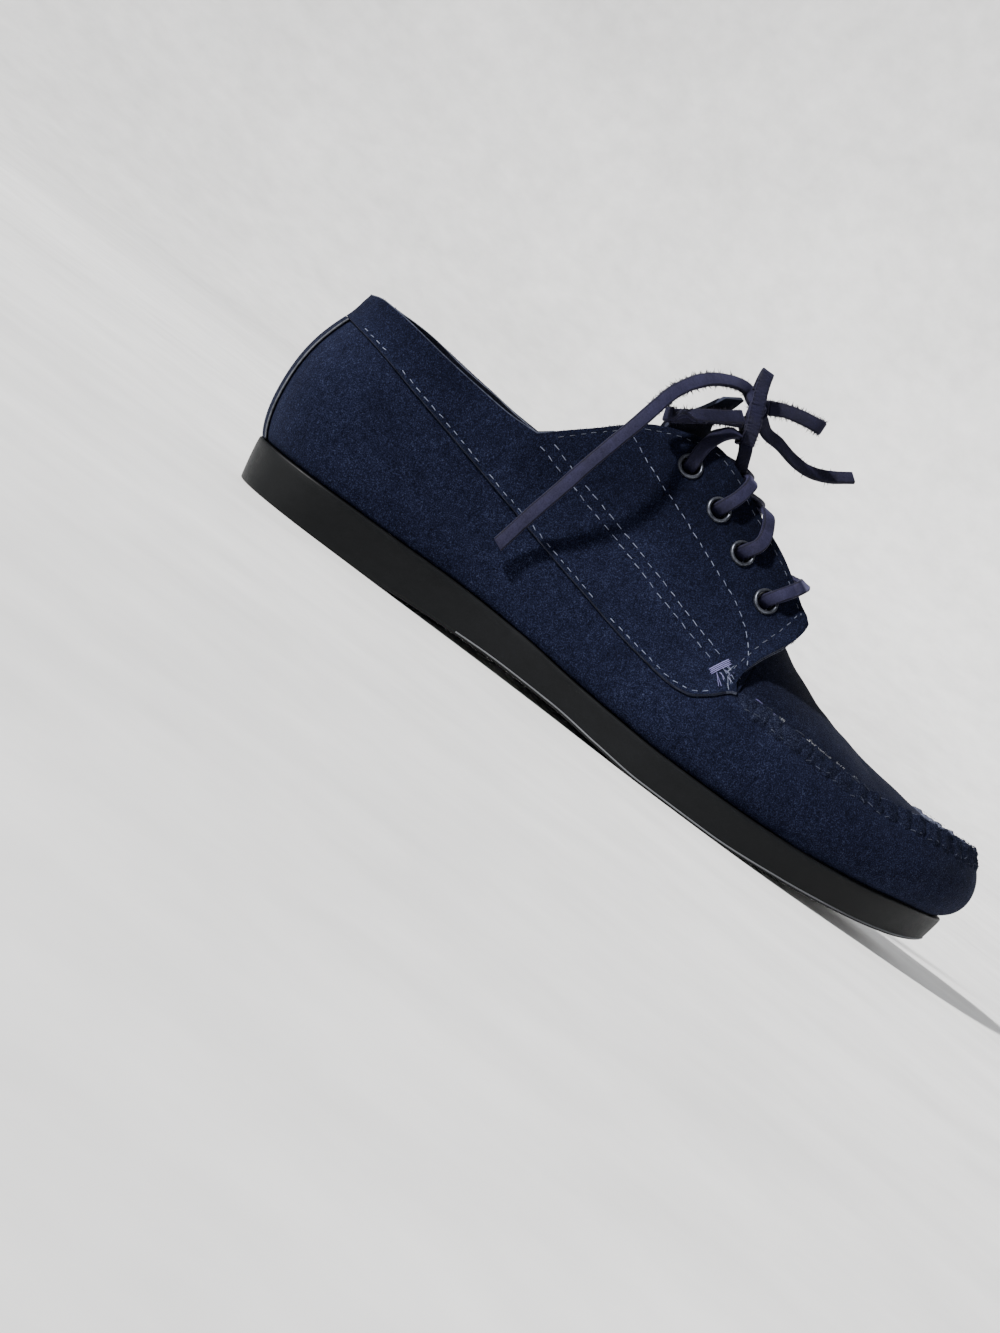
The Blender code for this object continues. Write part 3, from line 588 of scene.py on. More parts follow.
def bumps(tree, shader, noises, heights):
    """Relief from some of the noises, with heights in millimetres, one on top of another."""
    below = {}
    for name, height in heights.items():
        bump = node(tree, "Bump", {"Height": noises[name], "Strength": 1.0,
                                   "Distance": height * MM, **below})
        below = {"Normal": bump}
    tree.links.new(below["Normal"], shader.inputs["Normal"])


def soft_step(tree, value, low, high, start, end):
    """Runs from start to end while a value runs from low to high."""
    return node(tree, "MapRange", {"Value": value, "From Min": low, "From Max": high,
                                   "To Min": start, "To Max": end}, "Result",
                interpolation_type="SMOOTHSTEP")


def sloped(tree, value, axis, low, high, weight):
    """A value with that weight added gradually between two places in millimetres along an axis."""
    place = node(tree, "SeparateXYZ", {"Vector": node(tree, "TexCoord", {}, "Object")}, axis)
    added = soft_step(tree, place, low * MM, high * MM, 0.0, weight)
    return node(tree, "Math", {0: added, 1: value})


def layered(name, noises, tone, stops, relief, gloss=None, slopes=(), **sockets):
    """A finish of named noises, each given by the sizes of its grain.

    The colour runs through the stops along the sum that the weights in tone give, with slopes along
    the shoe added. gloss holds the weights of another sum and the roughness at its two ends.
    """
    material, tree, shader = finish(name, **sockets)
    noises = {key: grain(tree, *sizes) for key, sizes in noises.items()}
    value = weighed(tree, noises, tone)
    for slope in slopes:
        value = sloped(tree, value, *slope)
    tree.links.new(ramp(tree, value, *stops), shader.inputs["Base Color"])
    if gloss:
        weights, low, high = gloss
        grey = ramp(tree, weighed(tree, noises, weights), (0.3, (low,) * 3), (0.7, (high,) * 3))
        tree.links.new(grey, shader.inputs["Roughness"])
    bumps(tree, shader, noises, relief)
    return material


def suede(name, deep, mid, light, tip, slopes=()):
    """Brushed leather: blotches where the nap lies another way, streaks of hair and specks."""
    noises = {"blotch": (34, 3, 0.55, 0.8), "brush": (9, 4, 0.62, 1.6, (1, 1, 1.5), (0, 20, 0)),
              "hair": (2.2, 5, 0.72, 1.4, (1.6, 1, 0.8), (10, 35, 0)), "speck": (0.44, 3, 0.75)}
    return layered(name, noises, {"blotch": 0.18, "brush": 0.22, "hair": 0.42, "speck": 1.65},
                   ((0.18, deep), (0.46, mid), (0.66, light), (0.92, tip)),
                   {"brush": 0.35, "hair": 0.30, "speck": 0.16}, slopes=slopes,
                   Roughness=0.95, Specular_IOR_Level=0.045, Sheen_Weight=0.020,
                   Sheen_Roughness=0.35, Sheen_Tint=(0.42, 0.50, 0.90, 1))


def raw_edge(name, dark, light):
    """The fibrous cut edge of leather."""
    noises = {"fibre": (0.8, 4, 0.7, 1.2, (1, 1, 2.5)), "patch": (5, 3, 0.6)}
    return layered(name, noises, {"fibre": 1.1, "patch": 0.8}, ((0.25, dark), (0.75, light)),
                   {"fibre": 0.35}, Roughness=0.95, Specular_IOR_Level=0.15)


def lace_leather(name, dark, light, nap, sheen=0.08):
    """Split leather lace: a smooth rubbed face over fine nap."""
    noises = {"patch": (11, 3, 0.6, 0.6), "hair": (1.5, 4, 0.7, 1.0), "speck": (0.45, 2, 0.6)}
    return layered(name, noises, {"patch": 0.7, "hair": 0.8, "speck": 0.6},
                   ((0.22, dark), (0.78, light)), {"hair": 0.16 * nap, "speck": 0.07 * nap},
                   ({"patch": 1.0, "hair": 0.5}, 0.56, 0.86), Specular_IOR_Level=0.14,
                   Sheen_Weight=sheen, Sheen_Roughness=0.4, Sheen_Tint=(0.46, 0.44, 0.95, 1))


def thread(name, dark, light):
    """Twisted thread."""
    noises = {"fibre": (0.5, 2, 0.6, 0.5), "patch": (7, 2, 0.5)}
    return layered(name, noises, {"fibre": 0.8, "patch": 0.8}, ((0.25, dark), (0.75, light)),
                   {"fibre": 0.10}, Roughness=0.68, Specular_IOR_Level=0.35, Sheen_Weight=0.2)


def rubber(name, dark, light, smooth_rough, rough_rough):
    """Moulded rubber with a faint bloom, scuffs and dust."""
    noises = {"cloud": (48, 3, 0.6, 0.7, (0.5, 1, 1.6)),
              "scuff": (3.5, 4, 0.7, 1.0, (0.35, 1, 1.4)), "pit": (0.5, 2, 0.6)}
    return layered(name, noises, {"cloud": 0.7, "scuff": 0.35, "pit": 0.25},
                   ((0.3, dark), (0.7, light)), {"scuff": 0.05, "pit": 0.035},
                   ({"cloud": 0.6, "scuff": 0.7}, smooth_rough, rough_rough),
                   Specular_IOR_Level=0.11)


def metal(name, dark, light):
    """Blackened metal, rubbed brighter in places."""
    noises = {"wear": (2.4, 4, 0.65), "fine": (0.35, 2, 0.6)}
    return layered(name, noises, {"wear": 1.0}, ((0.35, dark), (0.7, light)), {"fine": 0.02},
                   ({"wear": 0.8, "fine": 0.4}, 0.30, 0.48), Metallic=0.85)


def plain(name, colour, rough, size, depth):
    """Smooth leather or a painted backdrop with a faint grain."""
    dark, light = ([min(1.0, share * c) for c in colour] for share in (0.86, 1.10))
    return layered(name, {"cell": (size, 4, 0.6), "patch": (size * 9, 3, 0.6)},
                   {"cell": 0.6, "patch": 0.7}, ((0.3, dark), (0.7, light)), {"cell": depth},
                   Roughness=rough, Specular_IOR_Level=0.3)


def dimmed_far(material, near, far, share):
    """Lets a colour fall off to that share of itself between two distances in metres."""
    tree = material.node_tree
    surface = tree.nodes["Principled BSDF"].inputs["Base Color"]
    place = node(tree, "TexCoord", {}, "Object")
    distance = node(tree, "VectorMath", {0: place}, "Value", operation="LENGTH")
    light = soft_step(tree, distance, near, far, 1.0, share)
    dimmed = node(tree, "HueSaturation", {"Color": surface.links[0].from_socket, "Value": light})
    tree.links.new(dimmed, surface)


# The slopes paint light and shade on the suede: it darkens upwards between 58 and 92 mm and lightens
# a little forwards between 90 and 140 mm.
SUEDE = suede("navy_suede", (0.0005, 0.0007, 0.0022), (0.0028, 0.0038, 0.0108),
              (0.0088, 0.0114, 0.0290), (0.036, 0.043, 0.080),
              [("Z", 58, 92, -0.10), ("X", 90, 140, 0.03)])
# A darker copy of the suede for the plug: painted shade over the toe.
SUEDE_PLUG_SHADED = suede("navy_suede_plug_shaded", (0.0005, 0.0007, 0.0022), (0.0026, 0.0034, 0.0092),
                   (0.0076, 0.0096, 0.0230), (0.032, 0.038, 0.070))
SUEDE_WORN = suede("navy_suede_gathered", (0.0005, 0.0007, 0.0020), (0.0030, 0.0040, 0.0105),
                   (0.0104, 0.0130, 0.0290), (0.056, 0.062, 0.094))
LINING = suede("lining", (0.0010, 0.0012, 0.0022), (0.0032, 0.0038, 0.0072),
               (0.0068, 0.0078, 0.0140), (0.018, 0.020, 0.032))
EDGE = raw_edge("cut_edge", (0.016, 0.019, 0.036), (0.115, 0.125, 0.175))
EDGE_DARK = raw_edge("cut_edge_dark", (0.004, 0.005, 0.010), (0.030, 0.034, 0.058))
STRIP_CORE = raw_edge("strip_core", (0.026, 0.029, 0.038), (0.128, 0.134, 0.154))
FOLD = raw_edge("fold_edge", (0.006, 0.008, 0.016), (0.062, 0.070, 0.104))
EDGE_PALE = raw_edge("cut_edge_pale", (0.080, 0.088, 0.105), (0.360, 0.375, 0.405))
LACE = lace_leather("lace_leather", (0.0052, 0.0050, 0.0155), (0.0195, 0.0186, 0.0450), 1.0)
# A darker copy of the lace for the bow's loops, bight and short end, the tie and the knot: painted
# shade.
LACE_SHADED = lace_leather("lace_leather_shaded", (0.0018, 0.0018, 0.0070),
                         (0.0080, 0.0077, 0.0235), 1.6)
LACE_NAP = lace_leather("lace_leather_nap", (0.0013, 0.0013, 0.0050),
                        (0.0064, 0.0060, 0.0180), 2.4)
LACE_HAIR = lace_leather("lace_hair", (0.0006, 0.0006, 0.0022), (0.0030, 0.0029, 0.0085), 1.0,
                         sheen=0.02)
THREAD = thread("machine_thread", (0.044, 0.053, 0.095), (0.165, 0.192, 0.275))
THREAD_DIM = thread("edge_thread", (0.010, 0.012, 0.026), (0.070, 0.082, 0.122))
CORD_THREAD = thread("moccasin_thread", (0.010, 0.009, 0.044), (0.046, 0.041, 0.150))
TACK_THREAD = thread("tack_thread", (0.060, 0.056, 0.160), (0.205, 0.195, 0.400))
RUBBER = rubber("sole_rubber", (0.0012, 0.0016, 0.0020), (0.0040, 0.0046, 0.0054), 0.44, 0.60)
# A pale rubber for the line round the forefoot's lower edge: a painted highlight.
RUBBER_EDGE_HIGHLIGHT = rubber("sole_edge_highlight", (0.050, 0.053, 0.058), (0.110, 0.116, 0.124), 0.5, 0.7)
RUBBER_BLACK = rubber("ledge_rubber", (0.004, 0.004, 0.0045), (0.012, 0.0125, 0.0135), 0.55, 0.75)
METAL = metal("eyelet_metal", (0.030, 0.033, 0.044), (0.100, 0.107, 0.130))
BED = plain("footbed_leather", (0.030, 0.027, 0.028), 0.72, 1.6, 0.10)
FLOOR = plain("floor", (0.90, 0.90, 0.902), 0.60, 40.0, 0.02)
# Painted shade: the floor and its curved wall darken with distance from the shoe, to 76 % of their
# colour between 0.7 and 3.6 m.
dimmed_far(FLOOR, 0.70, 3.6, 0.76)


# ---------------------------------------------------------------- camera, light and floor

CAMERA_PLACE = (76.8, -855.0, 60.35)
CAMERA_TURN = 2.7         # degrees off square to the shoe's side
CAMERA_DROP = 4.0         # degrees it looks down
CAMERA_ROLL = 36.8        # degrees it is rolled, so that the toe points down
CAMERA_LENS = 64.8

# The key light rakes over the shoe from above its heel, so that the lace throws a shadow forwards
# and down on the quarter: where it comes from, how wide it looks in degrees, strength and colour.
KEY_FROM = (-0.75, -0.42, 0.56)
KEY_ANGLE = 5.0
KEY_STRENGTH = 9.8
KEY_COLOUR = (1.0, 0.985, 0.965)
SOFT_LIGHTS = {           # place in metres, size, power in watts, colour
    "fill": ((0.90, -1.25, 0.70), 1.5, 2.0, (0.95, 0.975, 1.0)),
    "back": ((-0.10, 1.10, 1.20), 1.4, 3.0, (1.0, 1.0, 1.0)),
}
LIT_POINT = (0.0, 0.0, 0.06)  # the point of the shoe that the soft lights face
SKY_COLOUR = (0.90, 0.93, 0.97, 1)
SKY_STRENGTH = 0.26

# The floor is a flat disc, then a quarter circle up to an upright wall, all in metres.
FLOOR_RADIUS = 2.6
CURVE_RADIUS = 1.2
WALL_TOP = 1.6
FLOOR_SIDES = 64


def camera():
    """The camera on the shoe's lateral side."""
    turn, drop, roll = (math.radians(a) for a in (CAMERA_TURN, CAMERA_DROP, CAMERA_ROLL))
    ahead = Vector((math.sin(turn) * math.cos(drop), math.cos(turn) * math.cos(drop),
                    -math.sin(drop)))
    level = Vector((math.cos(turn), -math.sin(turn), 0.0))
    above = level.cross(ahead)
    right = math.cos(roll) * level + math.sin(roll) * above
    up = math.cos(roll) * above - math.sin(roll) * level
    data = bpy.data.cameras.new("camera")
    data.lens = CAMERA_LENS
    data.sensor_width = 36.0
    data.clip_end = 50.0
    eye = shown("camera", data)
    turned_to = Matrix((right, up, -ahead)).transposed()
    eye.matrix_world = Matrix.Translation(placed(CAMERA_PLACE)[0]) @ turned_to.to_4x4()
    bpy.context.scene.camera = eye


def lamp(name, kind, place, way, power, colour):
    """A light at a place that shines along a way."""
    data = bpy.data.lights.new(name, kind)
    data.energy = power
    data.color = colour
    turned_to = way.to_track_quat("-Z", "Y").to_matrix().to_4x4()
    shown(name, data).matrix_world = Matrix.Translation(place) @ turned_to
    return data


def lights():
    """The key light, the two soft ones and the sky."""
    key = lamp("key", "SUN", (0.0, 0.0, 0.0), -Vector(KEY_FROM), KEY_STRENGTH, KEY_COLOUR)
    key.angle = math.radians(KEY_ANGLE)
    for name, (place, size, power, colour) in SOFT_LIGHTS.items():
        soft = lamp(name, "AREA", place, Vector(LIT_POINT) - Vector(place), power, colour)
        soft.shape = "DISK"
        soft.size = size
    world = bpy.data.worlds.new("sky")
    world.use_nodes = True
    sky = world.node_tree.nodes["Background"]
    sky.inputs["Color"].default_value = SKY_COLOUR
    sky.inputs["Strength"].default_value = SKY_STRENGTH
    bpy.context.scene.world = world


def backdrop():
    """A pale floor that curves up far behind the shoe on every side."""
    profile = [(0.0, 0.0), (0.5, 0.0), (1.6, 0.0), (FLOOR_RADIUS, 0.0)]
    for a in np.radians(range(10, 91, 10)):
        profile.append((FLOOR_RADIUS + CURVE_RADIUS * math.sin(a),
                        CURVE_RADIUS * (1 - math.cos(a))))
    profile.append((FLOOR_RADIUS + CURVE_RADIUS, WALL_TOP))
    points = [(r * math.cos(a), r * math.sin(a), z)
              for a in 2 * math.pi * np.arange(FLOOR_SIDES) / FLOOR_SIDES for r, z in profile]
    faces = grid_faces(FLOOR_SIDES, len(profile), closed=True, flip=True)
    mesh = bpy.data.meshes.new("floor")
    mesh.from_pydata(points, [], faces.tolist())
    mesh.shade_smooth()
    mesh.materials.append(FLOOR)
    shown("floor", mesh)


camera()
lights()
backdrop()


# ---------------------------------------------------------------- lace

LACE_WIDE = 5.0
LACE_THICK = 1.7
LACE_STEP = 0.6           # between its points along its length
FINE_STEP = 0.25          # and where it is wrinkled
CRIMP_PITCH = 1.30        # between the cross wrinkles of a tightly bent lace
CRIMP_DEPTH = 0.34
CUT_SLANT = -1.0          # how much further one side of the long end's cut reaches
CUT_REACH = 6.0           # how far back from the cut the lace slants with it
CORNER_SHARE = 0.36       # radius of a lace's edges against its thickness
CORNER_STEPS = 4          # points round each of them
SMOOTH_SIDES = (3, 4, 7, 11, 12, 15)  # the faces round a lace that aren't part of a cut edge

KNOT = (137.2, 2.6, 122.8)  # the knot's middle
KNOT_LEAN = -15.0         # degrees it leans back

# The bow. Each route starts inside the knot or at its edge, and a loop's comes back to it.
BOW = {
    "lace_end_long": [
        (136.4, 8.6, 130.8), (133.4, 8.6, 130.2), (129.5, 9.4, 132.4), (125.5, 6.0, 132.0),
        (120.8, -2.0, 129.8), (115.5, -11.5, 126.0), (110.6, -21.5, 120.2), (107.0, -30.0, 113.2),
        (105.0, -36.5, 105.6), (103.0, -40.6, 96.6), (100.6, -42.8, 87.0), (98.2, -43.6, 77.0),
        (95.6, -43.6, 64.6), (92.8, -43.2, 52.0), (90.2, -42.9, 38.6), (89.7, -42.8, 36.2)],
    "lace_end_short": [
        (138.6, 0.6, 126.8), (143.6, 4.0, 123.9), (149.8, 7.4, 123.7), (157.4, 11.2, 122.5),
        (164.9, 15.0, 122.8), (172.2, 18.6, 125.7), (180.0, 22.0, 131.0)],
    "lace_loop_front": [
        (136.0, 5.0, 127.4), (136.4, 8.8, 130.3), (143.6, 9.8, 134.2), (150.8, 9.4, 136.3),
        (156.4, 8.4, 137.1), (158.4, 6.2, 137.1), (156.4, 4.0, 136.8), (150.4, 3.6, 135.7),
        (144.2, 3.6, 134.0), (139.0, 3.4, 131.2)],
    "lace_loop_back": [
        (133.0, -4.1, 121.2), (127.5, -9.2, 118.2), (122.0, -15.0, 114.5), (116.2, -19.6, 110.4),
        (111.8, -22.6, 107.3), (109.6, -25.4, 106.3), (112.0, -28.0, 107.9), (116.6, -25.0, 110.9),
        (122.4, -20.4, 115.0), (128.0, -15.0, 118.9), (132.2, -10.0, 122.2)],
    "lace_bight": [
        (139.8, -5.7, 115.8), (138.2, -5.6, 121.4), (135.6, -5.2, 127.0), (133.0, -4.6, 133.0),
        (131.2, -3.2, 138.2), (130.8, 0.0, 140.6), (131.4, 3.2, 138.0), (132.4, 3.8, 133.6)],
}

# Which way the flat side of each route faces, at even steps from its start to its end.
BOW_FACES = {
    "lace_end_long": [(0.1, -1, 0.5), (0.1, -1, 0.6), (0.1, -1, 0.4), (0, -1, 0.1), (0, -1, 0)],
    "lace_end_short": [(0, -1, 0.5), (0.1, -1, 0.6), (-0.2, -1, 0.8)],
    "lace_loop_front": [(0, 1, 0), (0, 1, 0.1), (1, 0, 0), (0, -1, 0.1), (0, -1, 0)],
    "lace_loop_back": [(0.3, 1, 0), (0.4, 1, 0), (-1, 0.1, -0.4), (-0.4, -1, 0), (-0.3, -1, 0)],
    "lace_bight": [(0, -1, 0), (0, -1, 0), (-0.1, -1, 0.2), (0, 0, 1), (0, 1, 0.1)],
}


def flat_profile(wide, thick):
    """Outline across a flat lace, with rounded corners."""
    corner = CORNER_SHARE * thick
    x, y = wide / 2 - corner, thick / 2 - corner
    points = []
    for cx, cy, start in ((x, -y, -90), (x, y, 0), (-x, y, 90), (-x, -y, 180)):
        for step in range(CORNER_STEPS):
            a = math.radians(start + 90 * step / (CORNER_STEPS - 1))
            points.append((cx + corner * math.cos(a), cy + corner * math.sin(a)))
    return np.array(points)


def wander(run, seed, pitch):
    """A slow seeded wave along a length, between about -1 and 1."""
    pick = random.Random(seed)
    total = np.zeros_like(run)
    for share, factor in ((0.5, 1.0), (0.3, 2.3), (0.2, 4.1)):
        total += share * np.sin(2 * math.pi * factor * run / pitch + pick.uniform(0, 6.28))
    return total


def wrinkles(base, run, seed, depth):
    """Cross wrinkles on both flat sides of a tightly bent lace."""
    fold = 2 * math.pi * run / CRIMP_PITCH + 2.4 * wander(run, seed + 2, 6.1)
    deep = depth * (0.55 + 0.45 * wander(run, seed + 4, 3.7))
    across = 0.9 * np.sin(base[:, 0] * 1.1 + 0.4) + 0.35 * base[:, 0]
    return deep[:, None] * np.sin(fold[:, None] + across[None]) * np.sign(base[:, 1])[None]


def lace_mesh(route, ways, seed, step=LACE_STEP, crimp=0.0, cut=0.0):
    """Points and faces of a flat lace, and its middle line.

    ways says where its flat side faces, at each point of the route or at even steps along it.
    """
    curve = rounded(route, per=10)
    line = even(curve, step)
    run = run_along(line)
    at = np.linspace(0, run[-1], len(ways))
    if len(ways) == len(route):
        passed = run_along(curve)
        at = passed[::10] * run[-1] / passed[-1]
    ways = read_at(run, at, np.array(ways, float))
    wide = 1 + 0.035 * wander(run, seed, 37)
    thick = 1 + 0.06 * wander(run, seed + 1, 23)
    base = flat_profile(LACE_WIDE, LACE_THICK)
    profile = base[None] * np.stack([wide, thick], axis=1)[:, None]
    profile[:, :, 1] += 0.10 * wander(run, seed + 3, 29)[:, None] * np.sign(base[:, 0])[None]
    if crimp:
        profile[:, :, 1] += wrinkles(base, run, seed, crimp)
    points, faces = tube(line, ways, profile)
    if cut:
        near = np.clip(1 - (run[-1] - run) / CUT_REACH, 0, 1)
        slant = (cut * near)[:, None, None] * base[None, :, :1] / LACE_WIDE
        slanted = points.reshape(len(line), -1, 3) + unit(line[-1] - line[-2]) * slant
        points = slanted.reshape(-1, 3)
    return points, faces, line


def lace_faces_finish(faces):
    """The flat sides are smooth and the cut edges show nap."""
    around = 4 * CORNER_STEPS
    return [0 if len(face) == 4 and k % around in SMOOTH_SIDES else 1
            for k, face in enumerate(faces)]


def bow():
    """The five free stretches of lace."""
    lines = {}
    for seed, (name, route) in enumerate(BOW.items()):
        crimp = CRIMP_DEPTH if name == "lace_bight" else 0.0
        cut = CUT_SLANT if name == "lace_end_long" else 0.0
        step = FINE_STEP if crimp else LACE_STEP
        points, faces, line = lace_mesh(route, BOW_FACES[name], 11 * seed + 3, step, crimp, cut)
        # The long end keeps the lace's own colour; the rest of the bow gets the copy with painted
        # shade.
        face = LACE if cut else LACE_SHADED
        piece = made(name + "_look", points, faces, [face, LACE_NAP], "lace_leather", [name],
                     lace_faces_finish(faces))
        lines[name] = line
    return lines


BOW_LINES = bow()


# ---------------------------------------------------------------- the leather's own shape

# Soft troughs (depth below 0) and ridges, each as long and as wide as its row says, on one side of
# the shoe: lateral -1, medial 1. angle is off level, rising towards the toe.
FOLDS = table(
    "side x z length angle width depth",
    (-1, 208, 30, 34, -12, 5.0, -0.50),
    (-1, 236, 27, 40, 10, 6.0, -0.45),
    (-1, 262, 31, 30, 28, 5.0, -0.45),
    (-1, 172, 25, 40, -6, 6.0, -0.45),
    (-1, 128, 30, 46, -20, 7.0, -0.50),
    (-1, 92, 36, 40, -34, 7.0, -0.55),
    (-1, 60, 44, 44, -30, 8.0, 0.40),
    (-1, 30, 38, 30, 60, 8.0, -0.40),
    (-1, 100, 66, 36, -46, 7.0, -0.45),
    (-1, 150, 66, 34, -30, 6.0, -0.35),
    (-1, 160, 48, 26, -18, 5.0, 0.30),
    (-1, 118, 86, 24, -55, 6.0, -0.30),
    (-1, 46, 66, 40, -14, 7.0, -0.40),
    (-1, 284, 33, 22, 50, 4.0, -0.40),
    (1, 212, 28, 36, -10, 6.0, -0.50),
    (1, 250, 30, 34, 18, 6.0, -0.45),
    (1, 168, 28, 42, -8, 6.0, -0.50),
    (1, 120, 34, 44, -22, 7.0, -0.50),
    (1, 84, 40, 40, -36, 7.0, -0.50),
    (1, 52, 46, 44, -28, 8.0, 0.40),
    (1, 104, 70, 34, -44, 7.0, -0.40),
    (1, 148, 64, 34, -30, 6.0, -0.35),
    (1, 44, 68, 38, -12, 7.0, -0.40),
)
# The same on the plug, seen from above.
PLUG_FOLDS = table(
    "x y length angle width depth",
    (202, 4, 34, 84, 4.5, -0.50),
    (214, -8, 30, 70, 4.0, -0.45),
    (226, 10, 36, 96, 5.0, -0.40),
    (240, -4, 40, 84, 6.0, -0.35),
    (258, 8, 36, 92, 6.0, 0.35),
    (274, -2, 26, 80, 5.0, -0.35),
    (236, -20, 30, 30, 5.0, 0.30),
    (250, 24, 30, -28, 5.0, 0.30),
)


def folded(across, up, rows, name):
    """How far a point moves along its normal, given its two coordinates and a table of folds."""
    total = np.zeros_like(across)
    for k in range(len(rows["depth"])):
        angle = math.radians(rows["angle"][k])
        a, b = across - rows["x"][k], up - rows[name][k]
        along = a * math.cos(angle) + b * math.sin(angle)
        off = b * math.cos(angle) - a * math.sin(angle)
        off = off + 0.0035 * along ** 2 * (1 if k % 2 else -1)
        shape = np.exp(-(off / rows["width"][k]) ** 2)
        shape *= np.exp(-(2 * along / rows["length"][k]) ** 4)
        total += rows["depth"][k] * shape
    return total


def relief(grid):
    """Folds and slow unevenness of the wall and the quarters."""
    shift = 0.12 * np.sin(grid[..., 0] / 9.1 + 1.0) * np.sin(grid[..., 2] / 6.3)
    shift += 0.10 * np.sin(grid[..., 0] / 4.7 + grid[..., 2] / 5.9)
    for side in (-1, 1):
        rows = {name: column[FOLDS["side"] == side] for name, column in FOLDS.items()}
        shift += ease(grid[..., 1] * side / 8.0) * folded(grid[..., 0], grid[..., 2], rows, "z")
    return shift


def wall_grid(members, start, end, rows):
    """Points of the wall's outside between two of its heights."""
    steps = np.linspace(start, end, rows)
    return np.array([[SECTIONS[i].wall(t) for t in steps] for i in members])


LOW_ROWS = 26             # points up each section of the wall below the seam line
HIGH_ROWS = 34            # and above it
LOW_GRID = wall_grid(range(len(SECTIONS)), 0.0, 1.0, LOW_ROWS)
# How far the flap's front edge is cut back, from the quarters' lower edge up to its corner.
CUT_BACK = table(
    "height back",
    (1.00, 0.4),
    (1.05, 1.6),
    (1.12, 3.2),
    (1.22, 4.0),
    (1.38, 3.7),
    (1.55, 2.4),
    (1.72, 0.7),
    (1.86, 0.0),
    (1.92, 0.4),
    (1.96, 1.0),
    (2.00, 2.2),
)
CUT_COLUMNS = 14          # how many columns of the quarters' points share in it


def cut_back(grid):
    """Draws both front ends of the quarters' grid back along its rows."""
    heights = np.linspace(1, 2, grid.shape[1])
    amounts = np.interp(heights, CUT_BACK["height"], CUT_BACK["back"])
    for end in (slice(0, CUT_COLUMNS), slice(None, -CUT_COLUMNS - 1, -1)):
        for row, back in enumerate(amounts):
            line = grid[end, row].copy()
            run = run_along(line)
            grid[end, row] = read_at(back + run * (run[-1] - back) / run[-1], run, line)


HEEL_ROUND = 1.5          # how far the collar's upper corner is rounded down at the heel
HEEL_ROUND_REACH = 3.6    # and how far from the very back


def round_heel(grid):
    """Rounds the collar's upper corner at the very back."""
    heights = np.linspace(1, 2, grid.shape[1])
    near = np.exp(-((grid[:, -1, 0] - grid[:, -1, 0].min()) / HEEL_ROUND_REACH) ** 2)
    share = near[:, None] * ease((heights - 1.60) / 0.40)[None]
    grid[..., 2] -= HEEL_ROUND * share


HIGH_GRID = wall_grid(REAR, 1.0, 2.0, HIGH_ROWS)
round_heel(HIGH_GRID)
cut_back(HIGH_GRID)
LOW_NORMALS = grid_normals(LOW_GRID, closed=True)
HIGH_NORMALS = grid_normals(HIGH_GRID)


def section_at(x, side):
    """The section at that place of one side, square to the shoe's length."""
    return Section((x, centre_y(x)), side * math.pi / 2, x, side)


def flap_place(side, x, inset):
    """A point of the wall that far below the flap's edge, the way out and the way up from it."""
    section, steps = section_at(x, side), np.linspace(2, 1, 81)
    line = np.array([section.wall(t) for t in steps])
    t = float(np.interp(inset, run_along(line), steps))
    here, up = section.wall(t), section.wall(min(t + 0.02, 2.0))
    down = section.wall(max(t - 0.02, 1.0))
    forward = section_at(x + 2, side).wall(t) - here
    return here, unit(np.cross(up - down, forward) * side), unit(up - down)


HOLES = [(side, *flap_place(side, x, inset)[:2]) for side in (-1, 1)
         for x, inset in zip(EYELETS["x"], EYELETS["inset"])]
HOLE_RADIUS = 4.0
HOLE_DEPTH = 8.0          # how near the leather's surface a point is to be to move for a hole


def with_holes(points, faces):
    """The same sheet with round holes where the eyelets go."""
    points, faces = points.copy(), np.array(faces)
    for _, centre, out in HOLES:
        local = points - centre
        high = local @ out
        flat = local - high[:, None] * out
        far = np.linalg.norm(flat, axis=1)
        near = (far < HOLE_RADIUS) & (np.abs(high) < HOLE_DEPTH)
        faces = faces[~near[faces].all(axis=1)]
        used = np.zeros(len(points), bool)
        used[np.unique(faces)] = True
        move = near & used
        scale = (HOLE_RADIUS / np.maximum(far[move], 0.2))[:, None]
        points[move] = centre + high[move][:, None] * out + flat[move] * scale
    return points, faces


def compact(points, faces):
    """Leave out the points that no face uses."""
    used = np.unique(faces)
    places = np.full(len(points), -1)
    places[used] = np.arange(len(used))
    return points[used], places[faces]


TURNED_IN = 7.0           # how far the wall's foot runs inwards under the insole
TOP_WAVE = 0.35           # how far its top edge is raised, give or take as much again


def wall():
    """Wall of the upper, from under the insole to the seam line and behind the quarters."""
    low = LOW_GRID + LOW_NORMALS * relief(LOW_GRID)[..., None]
    foot = np.array([s.place(s.low[0][0] - TURNED_IN, 0) for s in SECTIONS])
    foot[:, 2] = [sole_top(x) + GAP for x in foot[:, 0]]
    low = np.concatenate([foot[:, None], low], axis=1)
    high = HIGH_GRID + HIGH_NORMALS * relief(HIGH_GRID)[..., None]
    run = np.arange(len(REAR))
    raise_top = TOP_WAVE + TOP_WAVE * np.sin(run / 5.3) * np.sin(run / 13.0)
    high[:, -1] += raise_top[:, None] * unit_rows(high[:, -1] - high[:, -2])
    points = np.concatenate([low.reshape(-1, 3), high.reshape(-1, 3)])
    faces = np.concatenate([grid_faces(len(SECTIONS), LOW_ROWS + 1, closed=True),
                            grid_faces(len(REAR), HIGH_ROWS, start=low.shape[0] * low.shape[1])])
    points, faces = compact(*with_holes(points, faces))
    piece = made("upper_wall", points, faces, [SUEDE, EDGE, LINING], "suede", ["upper"])
    welded(piece)
    thicken(piece, WALL, rim=1, inside=2)
    return piece


